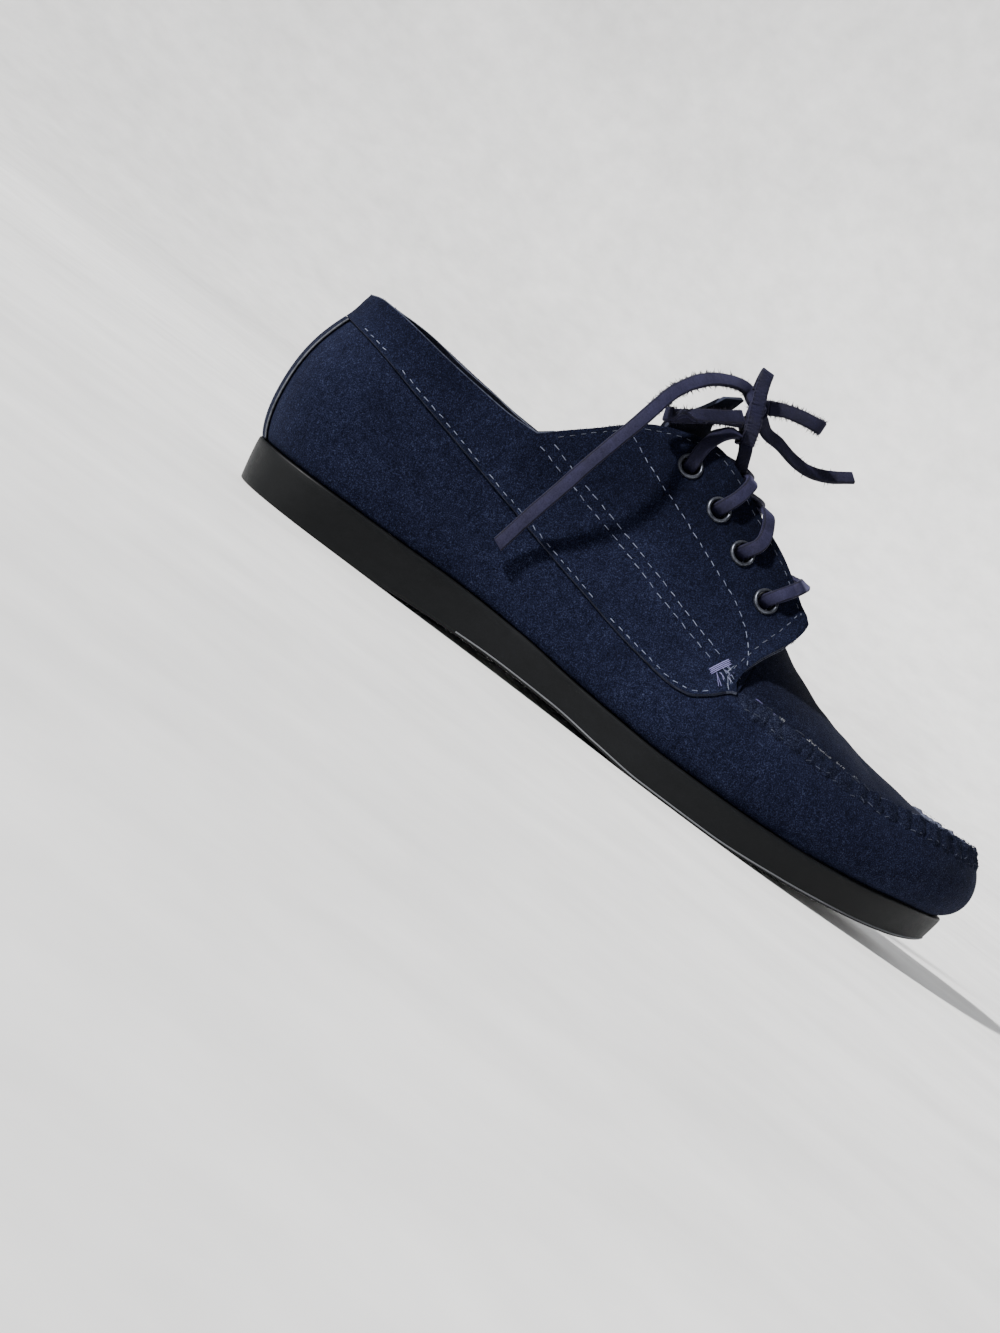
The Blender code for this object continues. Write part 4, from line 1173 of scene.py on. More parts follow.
def welded(piece, distance=0.02):
    """Join points of the mesh that lie on each other."""
    work = bmesh.new()
    work.from_mesh(piece.data)
    bmesh.ops.remove_doubles(work, verts=work.verts, dist=distance * MM)
    work.to_mesh(piece.data)
    work.free()


FLAP_LIFT = 1.9           # how far the flap's front edge stands off the vamp
FLAP_REACH = 9.0          # and how far back from that edge it begins to
RAW_REACH = 3.2           # how near that edge the raw layers show
LIP_WAVE = 0.25           # how far the quarters' top edge waves up and down
QUARTERS_ROUND = 0.32     # how far its corners are rounded


def from_front(points):
    """How far each point of the quarters is from the flap's front edge."""
    edges = np.concatenate([HIGH_GRID[0], HIGH_GRID[-1]])
    return np.linalg.norm(points[..., None, :] - edges, axis=-1).min(axis=-1)


# The flap lifts near its front edge, except along the quarters' lower edge, where it is held.
FROM_FRONT = from_front(HIGH_GRID)
HELD = ease((np.linspace(1, 2, HIGH_ROWS) - 1.06) / 0.22)
LIFT = FLAP_LIFT * ease(1 - FROM_FRONT / FLAP_REACH) * HELD[None]
OVER_SHIFT = relief(HIGH_GRID) + GAP + OVERLAY + LIFT
OVER_GRID = HIGH_GRID + HIGH_NORMALS * OVER_SHIFT[..., None]  # the quarters' outside


def quarters():
    """Quarters and collar in one piece over the wall, with a rounded cut edge."""
    grid = OVER_GRID.copy()
    run = np.arange(len(REAR))
    lip = LIP_WAVE * np.sin(run / 4.1) * np.sin(run / 9.7)
    grid[:, -1] += lip[:, None] * unit_rows(grid[:, -1] - grid[:, -2])
    points, faces = compact(*with_holes(grid.reshape(-1, 3), grid_faces(len(REAR), HIGH_ROWS)))
    raw = np.where(from_front(points[faces].mean(axis=1)) < RAW_REACH, 2, 0)
    piece = made("quarter_overlay", points, faces, [SUEDE, EDGE_DARK, SUEDE, EDGE], "suede",
                 ["quarters"], raw)
    thicken(piece, OVERLAY, rim=1, inside=1)
    soften(piece, QUARTERS_ROUND)
    return piece


# ---------------------------------------------------------------- toe: plug, gathered seam

BAND_SLANT = 42.0         # degrees the seam's flat side leans inwards
BAND_HALF = 4.1           # half its width
BAND_PITCH = 7.4          # length of one gather
BAND_STEP = 0.55          # between its points along the seam
CRUMPLE_WAVES = 16
PULL_DEEP = 0.9           # how far the seam draws the plug's leather down
PULL_GATHER = 0.55        # and how much further between two gathers
PULL_PLACE = 4.5          # how far inside the plug's edge that is deepest
PULL_REACH = 3.2          # and how far to both sides it reaches
PLUG_WIDE = 45.0          # about how far the plug's middle is from its edge
# Across the band: the share of BAND_HALF inwards, height, and the finish from there on.
BAND = table(
    "wide high finish",
    (-1.20, -1.4, 2),
    (-1.10, -0.5, 2),
    (-1.04, 0.25, 0),
    (-0.98, 0.85, 0),
    (-0.86, 1.3, 0),
    (-0.68, 1.65, 0),
    (-0.46, 1.85, 0),
    (-0.22, 1.95, 0),
    (0.02, 2.0, 0),
    (0.26, 2.1, 0),
    (0.48, 2.2, 0),
    (0.68, 2.2, 0),
    (0.83, 2.0, 0),
    (0.93, 1.5, 1),
    (0.97, 0.8, 1),
    (1.00, -0.2, 0),
    (1.05, -1.4, 0),
)


def ring_line(step):
    """The seam line ahead of the flaps: points, the way out and x, that far apart."""
    rows = []
    for i in FRONT_RING:
        section = SECTIONS[i]
        out, z = section.low[3]
        rows.append([*section.place(out, z), *section.ahead, section.x])
    rows = even(rows, step)
    return rows[:, :3], np.column_stack([unit_rows(rows[:, 3:5]), np.zeros(len(rows))]), rows[:, 5]


def band_axes(ahead):
    """Across the band, inwards and up, and straight out of it."""
    slant, upright = math.radians(BAND_SLANT), np.array([0.0, 0.0, 1.0])
    across = -ahead * math.cos(slant) + upright * math.sin(slant)
    proud = ahead * math.sin(slant) + upright * math.cos(slant)
    return across, proud


def gathers(run, seed, pitch):
    """Uneven lobes along a length: 0 in the gap between two gathers, 1 on top of one."""
    pick = random.Random(seed)
    edges = [0.0]
    while edges[-1] < run[-1]:
        edges.append(edges[-1] + pitch * pick.uniform(0.72, 1.3))
    edges = np.array(edges)
    k = np.clip(np.searchsorted(edges, run, side="right") - 1, 0, len(edges) - 2)
    t = (run - edges[k]) / (edges[k + 1] - edges[k])
    strength = np.array([pick.uniform(0.55, 1.0) for _ in edges])
    lobe = np.sqrt(np.clip(4 * t * (1 - t), 0, 1))
    return 1 - (1 - lobe) * strength[k]


def plug_dome():
    """Points of the plug ahead of the flaps, from the seam in to its middle, round the toe."""
    columns = []
    for i in FRONT_RING:
        section = SECTIONS[i]
        out, z_edge = section.low[3]
        turn = abs(float(section.ahead[0]))
        z_mid = smooth(PLUG, "z", min(section.x, TOE_CENTRE_X))
        column = []
        for v in np.linspace(1.0, 0.0, PLUG_ROWS):
            height = (1 - v ** PLUG_DOME) * (1 - turn) + (1 - v) ** PLUG_TOE * turn
            column.append(section.place(out * v, z_edge + (z_mid - z_edge) * height))
        columns.append(column)
    return np.array(columns)


def plug_tab(line):
    """Points of the tab that runs back under the laces from the dome's rear line."""
    middle = centre_y(TACK_X)
    reach = np.where(line[:, 1] > middle, line[-1, 1] - middle, middle - line[0, 1])
    v = np.abs(line[:, 1] - middle) / reach
    rows = []
    for k in range(TAB_ROWS):
        back = (TACK_X - PLUG_BACK_X) * (1 - v ** 2.2) * k / (TAB_ROWS - 1)
        height = np.array([smooth(PLUG, "z", TACK_X - b) for b in back]) - smooth(PLUG, "z", TACK_X)
        rows.append(line + np.column_stack([-back, 0 * back, height * (1 - v ** PLUG_DOME)]))
    return np.array(rows)


def plug():
    """The plug: a dome inside the seam, with a tab that runs back under the laces."""
    grid = plug_dome()
    tab = plug_tab(np.concatenate([grid[0], grid[-1][-2::-1]]))
    points = np.concatenate([grid.reshape(-1, 3), tab.reshape(-1, 3)])
    faces = np.concatenate([grid_faces(*grid.shape[:2]),
                            grid_faces(*tab.shape[:2], start=grid[..., 0].size, flip=True)])
    normals = np.concatenate([grid_normals(grid).reshape(-1, 3),
                              -grid_normals(tab).reshape(-1, 3)])
    normals[:, 2] = np.maximum(normals[:, 2], 0.05)
    shift = folded(points[:, 0], points[:, 1], PLUG_FOLDS, "y")
    shift += 0.16 * np.sin(points[:, 0] / 6.1 + 0.8) * np.sin(points[:, 1] / 7.7 + 0.4)
    # The plug's edge is drawn in by the seam, most of all between two gathers.
    ripple = gathers(np.arange(len(grid)) * 1.2, 5, BAND_PITCH)[:, None]
    inside = np.linspace(0, PLUG_WIDE, PLUG_ROWS)[None]
    near = np.exp(-((inside - PULL_PLACE) / PULL_REACH) ** 2)
    shift[:ripple.size * PLUG_ROWS] += (((ripple - 1) * PULL_GATHER - PULL_DEEP) * near).reshape(-1)
    points = points + unit_rows(normals) * shift[:, None]
    # The plug's darker suede is painted shade.
    piece = made("toe_plug", points, faces, [SUEDE_PLUG_SHADED, EDGE_DARK, LINING], "suede")
    welded(piece, 0.05)
    thicken(piece, WALL, rim=1, inside=2)
    return piece


def crumple(run, across, seed, shortest=1.3, longest=4.6):
    """Uneven small folds over a strip: a sum of seeded waves that run every way."""
    pick = random.Random(seed)
    total = np.zeros_like(run)
    for _ in range(CRUMPLE_WAVES):
        long = pick.uniform(shortest, longest)
        turn = pick.uniform(0, math.pi)
        total += np.sin(2 * math.pi * (run * math.cos(turn) + across * math.sin(turn)) / long
                        + pick.uniform(0, 6.28))
    return total / math.sqrt(CRUMPLE_WAVES)


def seam_band():
    """The gathered moccasin seam: folds of the wall's leather drawn in under the plug's edge."""
    line, ahead, x = ring_line(BAND_STEP)
    across, proud = band_axes(ahead)
    run = np.arange(len(line)) * BAND_STEP
    deep = 1.60 + 0.55 * ease((x - 225) / 55)
    low_lobe = gathers(run, 21, BAND_PITCH)
    high_lobe = gathers(run, 22, BAND_PITCH * 0.9)
    size = 0.45 + 0.55 * ease(np.minimum(run, run[-1] - run) / 9.0)
    rows = []
    for k, (wide, high) in enumerate(zip(BAND["wide"], BAND["high"])):
        share = (wide + 1) / 2
        shifted = np.interp(run + 1.6 * share, run, low_lobe)
        lobe = shifted * (1 - ease(share * 1.4)) + high_lobe * ease(share * 1.4)
        drop = deep * (1 - lobe) ** 0.8 * (1.0 - 0.30 * share)
        drop += 0.26 * crumple(run, wide * BAND_HALF, 31) * (1.0 if abs(wide) < 0.95 else 0.3)
        rough = 0.10 * np.sin(run * 2.9 + k * 1.3) + 0.07 * np.sin(run * 6.1 + k * 2.2)
        height = (high - drop) * size - 0.2 + rough * size
        sideways = wide * BAND_HALF * size * (1 + 0.20 * (lobe - 0.6) * (1 if wide < 0 else -0.4))
        if abs(wide) > 0.8:
            sideways = sideways + 0.34 * crumple(run, wide + 0 * run, 37, 1.6, 5.0)
        rows.append(line - ahead * 0.5 + across * sideways[:, None] + proud * height[:, None])
    grid = np.stack(rows, axis=1)
    finishes = np.tile(BAND["finish"][:-1], len(grid) - 1)
    return made("seam_band", grid.reshape(-1, 3), grid_faces(*grid.shape[:2]),
                [SUEDE_WORN, EDGE, EDGE_DARK], "suede", face_finish=finishes)


# ---------------------------------------------------------------- heel strip, tongue and footbed

STRIP_THICK = 1.3
STRIP_ANGLE = 15.0        # how far round the heel it reaches on each side, in degrees
STRIP_FOOT, STRIP_TOP = 0.02, 0.997  # the heights of the wall it runs between
STRIP_ROUND = 0.25        # how far its corners are rounded
CORE_RADIUS = 0.34        # of the pale core that shows along both its edges
CORE_SUNK = 0.7           # how deep its middle lies below the strip's outside


def heel_strip():
    """The strip over the heel seam, with a pale cut edge on each side."""
    sections = []
    for a in np.radians(np.linspace(-STRIP_ANGLE, STRIP_ANGLE, 31)):
        x = HEEL_CENTRE_X * (1 - math.cos(a))
        sections.append(Section((HEEL_CENTRE_X, 0.0), math.pi + a, x, -1 if a > 0 else 1))
    heights = np.linspace(STRIP_FOOT, STRIP_TOP, 44)
    grid = np.array([[s.wall(t) for t in heights] for s in sections])
    grid += grid_normals(grid) * (relief(grid) + GAP + OVERLAY)[..., None]
    piece = made("heel_strip", grid.reshape(-1, 3), grid_faces(*grid.shape[:2]),
                 [SUEDE_WORN, EDGE_DARK], "suede_dark", ["back_strip"])
    thicken(piece, STRIP_THICK, rim=1, inside=1)
    soften(piece, STRIP_ROUND)
    ways = grid_normals(grid)
    parts = []
    for k in (0, -1):
        edge = grid[k] - ways[k] * CORE_SUNK + unit(grid[k, 20] - grid[15, 20]) * 0.2
        parts.append(tube(edge, ways[k], circle(CORE_RADIUS, 8)))
    made("heel_strip_core", *joined(parts), [STRIP_CORE], "suede_dark")


TIP_FORWARD = 2.6         # how far the tongue's tip curls towards the knot
TIP_SWEEP = 2.4           # and how much further back its corners stay
TIP_FROM = 116.0          # the height from which it does
TIP_RISE = 9.0            # and how much higher up it does in full
TONGUE_ROUND = 0.35       # how far its corners are rounded


def tongue():
    """An arched strip that rises from under the plug to above the flaps."""
    across = np.linspace(-1, 1, 25)
    rows = rounded(list(zip(*TONGUE.values())), per=5)
    grid = []
    for n, (x, z, half, drop, sweep) in enumerate(rows):
        wave = 0.30 * math.sin(n / 4.3) + 0.25 * math.sin(n / 1.9)
        tip = float(ease((z - TIP_FROM) / TIP_RISE))
        x += TIP_FORWARD * tip
        sweep += TIP_SWEEP * tip
        grid.append([(x - sweep * v * v, centre_y(x) + half * v,
                      z - drop * v * v + wave * math.cos(3 * v)) for v in across])
    grid = np.array(grid)
    piece = made("tongue_look", grid.reshape(-1, 3), grid_faces(*grid.shape[:2]),
                 [LINING, EDGE_DARK, LINING], "suede_dark", ["tongue"])
    thicken(piece, TONGUE_THICK, outwards=True, rim=1, inside=2)
    soften(piece, TONGUE_ROUND)


BED_RIM = ((1.0, 0.7), (1.0, 2.4), (0.985, 3.2))  # share of the way out, height above the sole
BED_TOP = 5.1             # height of the footbed's top inside its rim
BED_DISH = 1.3            # and how much lower its middle is
BED_CLEAR = 1.4           # between it and the wall's inside


def footbed():
    """The footbed's top and rim, a little dished."""
    profile = list(BED_RIM)
    for share in np.linspace(0.95, 0.0, 14):
        profile.append((share, BED_TOP - BED_DISH * (1 - share ** 2)))
    grid = []
    for s in SECTIONS:
        outer = s.low[0][0] - WALL - BED_CLEAR
        flat = [(s.place(outer * share, 0), above) for share, above in profile]
        grid.append([(point[0], point[1], sole_top(point[0]) + above) for point, above in flat])
    grid = np.array(grid)
    piece = made("footbed", grid.reshape(-1, 3), grid_faces(*grid.shape[:2], closed=True), [BED],
                 "insole_leather", ["insole"])
    welded(piece)


# ---------------------------------------------------------------- sole

HEEL_TAPER = 2.6          # how far the heel's back and sides draw in towards the floor
SOLE_TAPER = 1.4          # and the rest of the sole's edge
RIB_PITCH = 1.05          # of the ribs across the ledge that the upper stands on
RIB_DEPTH = 0.16
SOLE_HIGHLIGHT_FROM = 96.0          # where the painted highlight round the forefoot's lower edge begins
SOLE_HIGHLIGHT_RADIUS = 0.30
SOLE_HIGHLIGHT_HEIGHT = 0.95        # above the underside

# The ledge on top, from the side wall's upper edge inwards: how far inside the rim, and how far
# below the sole's top.
LEDGE = ((0.0, 0.75), (0.12, 0.28), (0.45, 0.05), (0.8, 0.0), (1.0, 0.42), (1.15, 0.30),
         (2.5, 0.30), (9.0, 0.30))
BLACK_ROWS = 5            # faces of the ledge that are blacker than the side wall
SIDE_SHARES = (0.12, 0.3, 0.5, 0.7, 0.86)  # of the way from foot to ledge up the side wall
# The underside: how far inside the foot's edge, and height above the underside's own level.
GROOVE = ((3.2, 0.9), (2.6, 0.9), (2.2, 0.0), (0.7, 0.0))
GROOVE_INSIDE = 4.0       # the flat middle stays at least that far inside the foot's edge
FOOT_HIGH = 0.9           # height of the worn-in bottom edge, and of the rounded top edge


def taper_at(section):
    """How far the sole draws in towards the floor."""
    heel = 1 - float(ease((section.x - 30) / 60))
    return SOLE_TAPER + (HEEL_TAPER - SOLE_TAPER) * heel


def sole_edge_highlight(sections):
    """A painted highlight: a thin pale line round the lower edge of the forefoot."""
    line = []
    for s in sections:
        point = s.place(s.edge - taper_at(s) + 0.05, 0)
        if point[0] > SOLE_HIGHLIGHT_FROM:
            point[2] = smooth(SOLE, "bottom", point[0]) + SOLE_HIGHLIGHT_HEIGHT
            line.append(point)
    # Start after the gap at the heel, not in the middle of the toe.
    first = int(np.argmax(np.linalg.norm(np.diff(line, axis=0), axis=1))) + 1
    line = line[first:] + line[:first]
    made("sole_edge_highlight", *tube(line, [(0, 0, 1)] * len(line), circle(SOLE_HIGHLIGHT_RADIUS, 6)), [RUBBER_EDGE_HIGHLIGHT],
         "rubber")


def sole_section(s, rib):
    """Points round one section of the sole, from the underside's middle out and over its ledge."""
    foot = s.edge - taper_at(s)
    low = smooth(SOLE, "bottom", s.place(foot, 0)[0])
    high = sole_top(s.place(s.edge, 0)[0])
    under = [(share * (foot - GROOVE_INSIDE), 0.0) for share in (0.0, 0.3, 0.6, 0.9)]
    under += [(foot - inside, above) for inside, above in GROOVE]
    points = [s.place(out, 0) for out, _ in under]
    for point, (_, above) in zip(points, under):
        point[2] = smooth(SOLE, "bottom", point[0]) + above
    side = [(foot - 0.2, low + 0.25), (foot, low + FOOT_HIGH)]
    for share in SIDE_SHARES:
        out = s.edge - taper_at(s) * (1 - share) ** 1.25
        side.append((out, low + FOOT_HIGH + share * (high - low - 2 * FOOT_HIGH)))
    for inside, below in LEDGE:
        raised = rib if 1.0 < inside < 9.0 else 0.0
        side.append((s.edge - inside, high - below + raised))
    return points + [s.place(out, z) for out, z in side]


def sole_unit():
    """The rubber unit: a satin side wall, a ridged ledge on top and a worn-in bottom edge."""
    sections = make_sections(0.8, 0.55, 1.0)
    run = run_along(np.array([s.place(s.edge, 0) for s in sections]))
    ribs = RIB_DEPTH * (0.5 + 0.5 * np.cos(2 * math.pi * run / RIB_PITCH))
    grid = np.array([sole_section(s, rib) for s, rib in zip(sections, ribs)])
    rows = grid.shape[1]
    black = np.arange(rows - 1) >= rows - 1 - BLACK_ROWS
    piece = made("sole_unit", grid.reshape(-1, 3), grid_faces(len(grid), rows, closed=True),
                 [RUBBER, RUBBER_BLACK], "rubber", ["outsole"], np.tile(black, len(grid)))
    welded(piece, 0.005)
    sole_edge_highlight(sections)


# ---------------------------------------------------------------- eyelets

EYELET_PROFILE = [        # radius and height above the quarters, round one rolled eyelet
    (3.45, -4.2), (3.45, 0.10), (3.50, 0.48), (3.68, 0.80), (3.95, 0.96), (4.25, 0.95),
    (4.52, 0.74), (4.70, 0.40), (4.76, 0.02), (4.68, -0.25), (4.25, -0.25), (3.75, -0.4),
    (3.75, -3.6), (4.6, -3.7), (4.6, -4.2),
]


def ring(centre, out, profile, count):
    """Points and faces of a closed profile turned round an axis."""
    turned_to = Vector(out).to_track_quat("Z", "Y").to_matrix()
    points = []
    for n in range(count):
        a = 2 * math.pi * n / count
        for radius, height in profile:
            local = turned_to @ Vector((radius * math.cos(a), radius * math.sin(a), height))
            points.append(centre + np.array(local))
    rows, faces = len(profile), []
    for n in range(count):
        for j in range(rows):
            a, b = n * rows, (n + 1) % count * rows
            faces.append((a + j, b + j, b + (j + 1) % rows, a + (j + 1) % rows))
    return points, faces


def eyelets():
    """The rolled eyelets of each flap."""
    for side, name in ((-1, "lateral"), (1, "medial")):
        parts = [ring(centre + out * (GAP + OVERLAY), out, EYELET_PROFILE, 36)
                 for hole_side, centre, out in HOLES if hole_side == side]
        made(f"eyelets_{name}", *joined(parts), [METAL], "eyelet_metal",
             [f"eyelet_{name}_{k}" for k in range(1, 5)])


# ---------------------------------------------------------------- lacing

LACE_CLEAR = 1.55         # space below a lace that rests on the flaps
LACE_LIFT = OVERLAY + GAP + LACE_CLEAR + LACE_THICK / 2
CROSS_LIFT = 1.5          # how much higher the upper strand of a crossing lies
DIVE_INSIDE = 6.0         # where a crossing strand goes under, inside the other flap's edge
DIVE_ABOVE = 0.4          # and above it
EDGE_BELOW = 0.2          # how far below the flap's edge a lace crosses it
TUCK = (-1.5, 4.0, -5.0)  # how it goes on from there: forwards, further across and upwards
UP = np.array([0.0, 0.0, 1.0])

# How each lace runs from its eyelets: how far ahead of the eyelet it is a third, two thirds and all
# the way up to the flap's edge, then how far ahead of the edge and above it its middle is, and how
# far ahead of its eyelet a crossing strand goes under.
LACING = table(
    "eyelet third two_thirds edge middle rise dive",
    (2, 1.5, 2.5, 2.5, -1.5, 1.2, -8.0),
    (3, 1.8, 1.4, -1.5, -3.5, 1.2, -9.0),
    (4, 1.8, 3.4, 4.4, 2.6, 1.6, 0.0),
)

# A lace's steps from its eyelet to the flap's edge: the share of the way, the column of LACING that
# holds its place ahead, and its extra height over the leather.
TO_EDGE = ((0.35, "third", 0.9), (0.7, "two_thirds", 0.8), (1.0, "edge", 0.9))

# The tie that rises from each top eyelet to the knot: place, distance from the middle of the
# throat, height, and the way its flat side faces (forward, outwards, up).
TIE = table(
    "x half z forward outwards up",
    (127.4, 20.6, 105.4, 0.0, 0.8, 0.6),
    (129.8, 14.6, 112.0, -0.2, 0.8, 0.6),
    (133.4, 8.4, 116.2, -0.2, 0.8, 0.6),
)
TIE_MIDDLE = (137.0, 117.2)  # its middle, inside the knot

# The first points of a lace at an eyelet: how far out of the leather and up towards the flap's
# edge, then how far outwards its flat side turns from facing away from that edge.
THROUGH = ((-7.5, -1.0, 0.0), (-3.0, 0.2, 0.0), (1.4, 0.8, 0.5))


def through_eyelet(side, number):
    """The first points of a lace that comes from inside the shoe up through an eyelet."""
    x, inset = EYELETS["x"][number - 1], EYELETS["inset"][number - 1]
    here, out, up = flap_place(side, x, inset)
    line = [here + out * beyond + up * above for beyond, above, _ in THROUGH]
    return line, [out * turn - up for _, _, turn in THROUGH]


def eyelet_run(side, number):
    """A lace from inside the shoe up through an eyelet and over to the flap's edge."""
    x, inset = EYELETS["x"][number - 1], EYELETS["inset"][number - 1]
    row = int(np.argmax(LACING["eyelet"] == number))
    line, ways = through_eyelet(side, number)
    for share, column, extra in TO_EDGE:
        below = inset * (1 - share) + EDGE_BELOW
        here, out, _ = flap_place(side, x + LACING[column][row], below)
        line.append(here + out * (LACE_LIFT + extra))
        ways.append(out)
    return line, ways, row


def crossing(number):
    """Two strands that cross in the middle of the throat and each dive past the other flap."""
    x = EYELETS["x"][number - 1]
    parts = []
    for side in (-1, 1):
        line, ways, row = eyelet_run(side, number)
        above = LACING["rise"][row] + (CROSS_LIFT if side > 0 else 0.0)
        ahead = line[-1][0] + LACING["middle"][row]
        middle = np.array([ahead, centre_y(x), line[-1][2] + above])
        far, _, _ = flap_place(-side, x + LACING["dive"][row], 0.0)
        past = far + np.array([0.0, side * DIVE_INSIDE, DIVE_ABOVE])
        tuck = past + np.array(TUCK) * (1, -side, 1)
        line += [middle, past, tuck]
        ways += [UP, UP, np.array([0.0, -side * 0.9, 0.3])]
        parts.append(lace_mesh(line, ways, 50 + number + side))
    joined_strands(f"lacing_crossing_{number}", parts, f"lace_crossing_{number}")


def lacing():
    """The bars, crossings and tie between the eyelets, threaded through them."""
    left, left_way, row = eyelet_run(-1, 4)
    right, right_way, _ = eyelet_run(1, 4)
    rise = np.array([LACING["middle"][row], 0, LACING["rise"][row]])
    middle = (left[-1] + right[-1]) / 2 + rise
    bar = lace_mesh(left + [middle] + right[::-1], left_way + [UP] + right_way[::-1], 41)
    joined_strands("lacing_bar_4", [bar], "lace_bar_4")
    crossing(3)
    crossing(2)
    lines, ways = [], []
    for side in (-1, 1):
        line, way = through_eyelet(side, 1)
        for x, half, z, forward, outwards, up in zip(*TIE.values()):
            line.append(np.array((x, centre_y(x) + side * half, z)))
            way.append(np.array((forward, side * outwards, up)))
        lines.append(line)
        ways.append(way)
    x, z = TIE_MIDDLE
    route = lines[0] + [np.array((x, centre_y(x), z))] + lines[1][::-1]
    tie = lace_mesh(route, ways[0] + [UP] + ways[1][::-1], 61)
    # The tie gets the lace with painted shade.
    joined_strands("lacing_tie_1", [tie], "lace_tie_1", LACE_SHADED)


def joined_strands(name, parts, node_name, skin=LACE):
    """One piece of several lengths of lace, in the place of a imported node."""
    finishes = [n for _, faces, _ in parts for n in lace_faces_finish(faces)]
    made(name, *joined([part[:2] for part in parts]), [skin, LACE_NAP], "lace_leather", [node_name],
         finishes)


# The knot's wraps: height above its middle, half its length and half its width.
WRAPS = table(
    "height long wide",
    (4.6, 2.3, 4.0),
    (0.4, 2.7, 4.6),
    (-4.2, 2.4, 4.0),
)
KNOT_FOOT = [(143.6, -5.4, 106.6), (142.2, -5.8, 109.8), (140.8, -5.2, 113.4),
             (138.8, -3.4, 117.6), (137.6, -2.6, 122.0)]


def knot():
    """The knot: three wraps and the lace that runs down from them to the flap's edge."""
    lean = Matrix.Rotation(math.radians(KNOT_LEAN), 3, "Y")
    parts = []
    for seed, (height, long, wide) in enumerate(zip(*WRAPS.values())):
        line, ways = [], []
        for n in range(25):
            a = 2 * math.pi * n / 24 + 1.2
            tilt = 1.5 * math.sin(a + seed)
            local = Vector((long * math.cos(a), wide * math.sin(a), height + tilt))
            line.append(np.array(KNOT) + np.array(lean @ local))
            ways.append(np.array(lean @ Vector((math.cos(a), math.sin(a), 0.0))))
        parts.append(lace_mesh(line, ways, 70 + seed, 0.4, 0.08))
    parts.append(lace_mesh(KNOT_FOOT, [(0, -1, 0)] * len(KNOT_FOOT), 77, FINE_STEP, 0.16))
    # The knot gets the lace with painted shade.
    joined_strands("lacing_knot", parts, "lace_knot", LACE_SHADED)


# ---------------------------------------------------------------- putting the upper together

PLUG_PIECE = plug()
WALL_PIECE = wall()
BAND_PIECE = seam_band()
QUARTERS_PIECE = quarters()
heel_strip()
tongue()
footbed()
sole_unit()
eyelets()
lacing()
knot()


# ---------------------------------------------------------------- stitching

GRAPH = bpy.context.evaluated_depsgraph_get()
TREES = [BVHTree.FromObject(piece, GRAPH)
         for piece in (QUARTERS_PIECE, WALL_PIECE, BAND_PIECE, PLUG_PIECE)]


def lifted(point):
    """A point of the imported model's frame as a point of the shoe, in millimetres."""
    return np.array([point[0] / MM - BACK_OF_SOLE, point[1] / MM + ORIGIN_Y, point[2] / MM])


def cast(start, way):
    """Where a ray first meets the leather, and the way out there."""
    begin, along = Vector(placed(start)[0]), Vector(way).normalized()
    hits = [tree.ray_cast(begin, along) for tree in TREES]
    hits = [hit for hit in hits if hit[0] is not None]
    if not hits:
        return None
    place, normal, _, _ = min(hits, key=lambda hit: hit[3])
    return lifted(place), np.array(normal if normal.dot(along) < 0 else -normal)


CAST_FROM = 130.0         # how far beside the shoe the rays that look for its side begin


def cast_side(x, z, side):
    """Where the leather is at that place of the shoe's side, and the way out there."""
    return cast((x, side * CAST_FROM, z), (0.0, -side, 0.0))


def columns_of(found):
    """The places and the ways out of those casts that met something."""
    return [np.array(column) for column in zip(*(pair for pair in found if pair is not None))]


STITCH_SUNK = -1.2        # how deep a stitch's ends lie, against its radius
STITCH_BEND = 0.35        # and how high it bends over


def dash(a, b, normal, radius, proud=0.7):
    """One stitch: a short thread that rises out of the leather and dives back in."""
    arch = ((0.0, STITCH_SUNK), (0.10, STITCH_BEND), (0.30, proud), (0.70, proud),
            (0.90, STITCH_BEND), (1.0, STITCH_SUNK))
    line = [a + (b - a) * share + normal * radius * height for share, height in arch]
    return tube(line, [normal] * len(line), circle(radius, 6))


def stitch_row(points, normals, length, pitch, radius, seed, skip=(), stray=0.12):
    """Stitches of that length and pitch along a line of points on the leather."""
    pick = random.Random(seed)
    run = run_along(points)
    parts, at, number = [], 0.6, 0
    while at + length < run[-1]:
        if number not in skip:
            begin, end = at + pick.uniform(-0.2, 0.2), at + length + pick.uniform(-0.25, 0.25)
            a, b = read_at(begin, run, points), read_at(end, run, points)
            n = unit(read_at((begin + end) / 2, run, normals))
            sideways = np.cross(unit(b - a), n)
            a, b = a + sideways * pick.gauss(0, stray), b + sideways * pick.gauss(0, stray)
            parts.append(dash(a, b, n, radius * pick.uniform(0.9, 1.12)))
        at += pitch * pick.uniform(0.94, 1.06)
        number += 1
    return parts


# Rows of machine stitches on the quarters: places on the shoe's side as x and z, then the stitches'
# length, pitch and radius. The first two rows are the double seam, the third runs round the
# eyelets.
STITCH_ROWS = (
    ([(84.6, 75.0), (98, 71.0), (126.5, 64.0), (150, 57.6), (162.3, 54.1), (175.6, 50.6)],
     (2.4, 4.3, 0.125)),
    ([(81.0, 71.8), (96, 67.8), (122.7, 61.2), (151.8, 53.2), (174.0, 47.6)],
     (2.4, 4.3, 0.125)),
    ([(101.5, 95.0), (106.2, 93.2), (113.8, 89.5), (138.4, 80.5), (155.4, 73.8), (166.8, 69.3),
      (176.2, 62.9), (180.3, 58.2), (182.5, 53.4)],
     (2.1, 3.9, 0.13)),
)
EDGE_INSET = 2.7          # of the row along the flap's edge
OVERLAY_INSET = 1.5       # of the row above the quarters' lower edge
FLAP_ROW = (83.0, 182.6)  # where the one starts and ends
LOWER_ROW = (7.5, 180.0)  # and the other
FLAP_TURN = 181.7         # where the flap's row turns down along its front edge
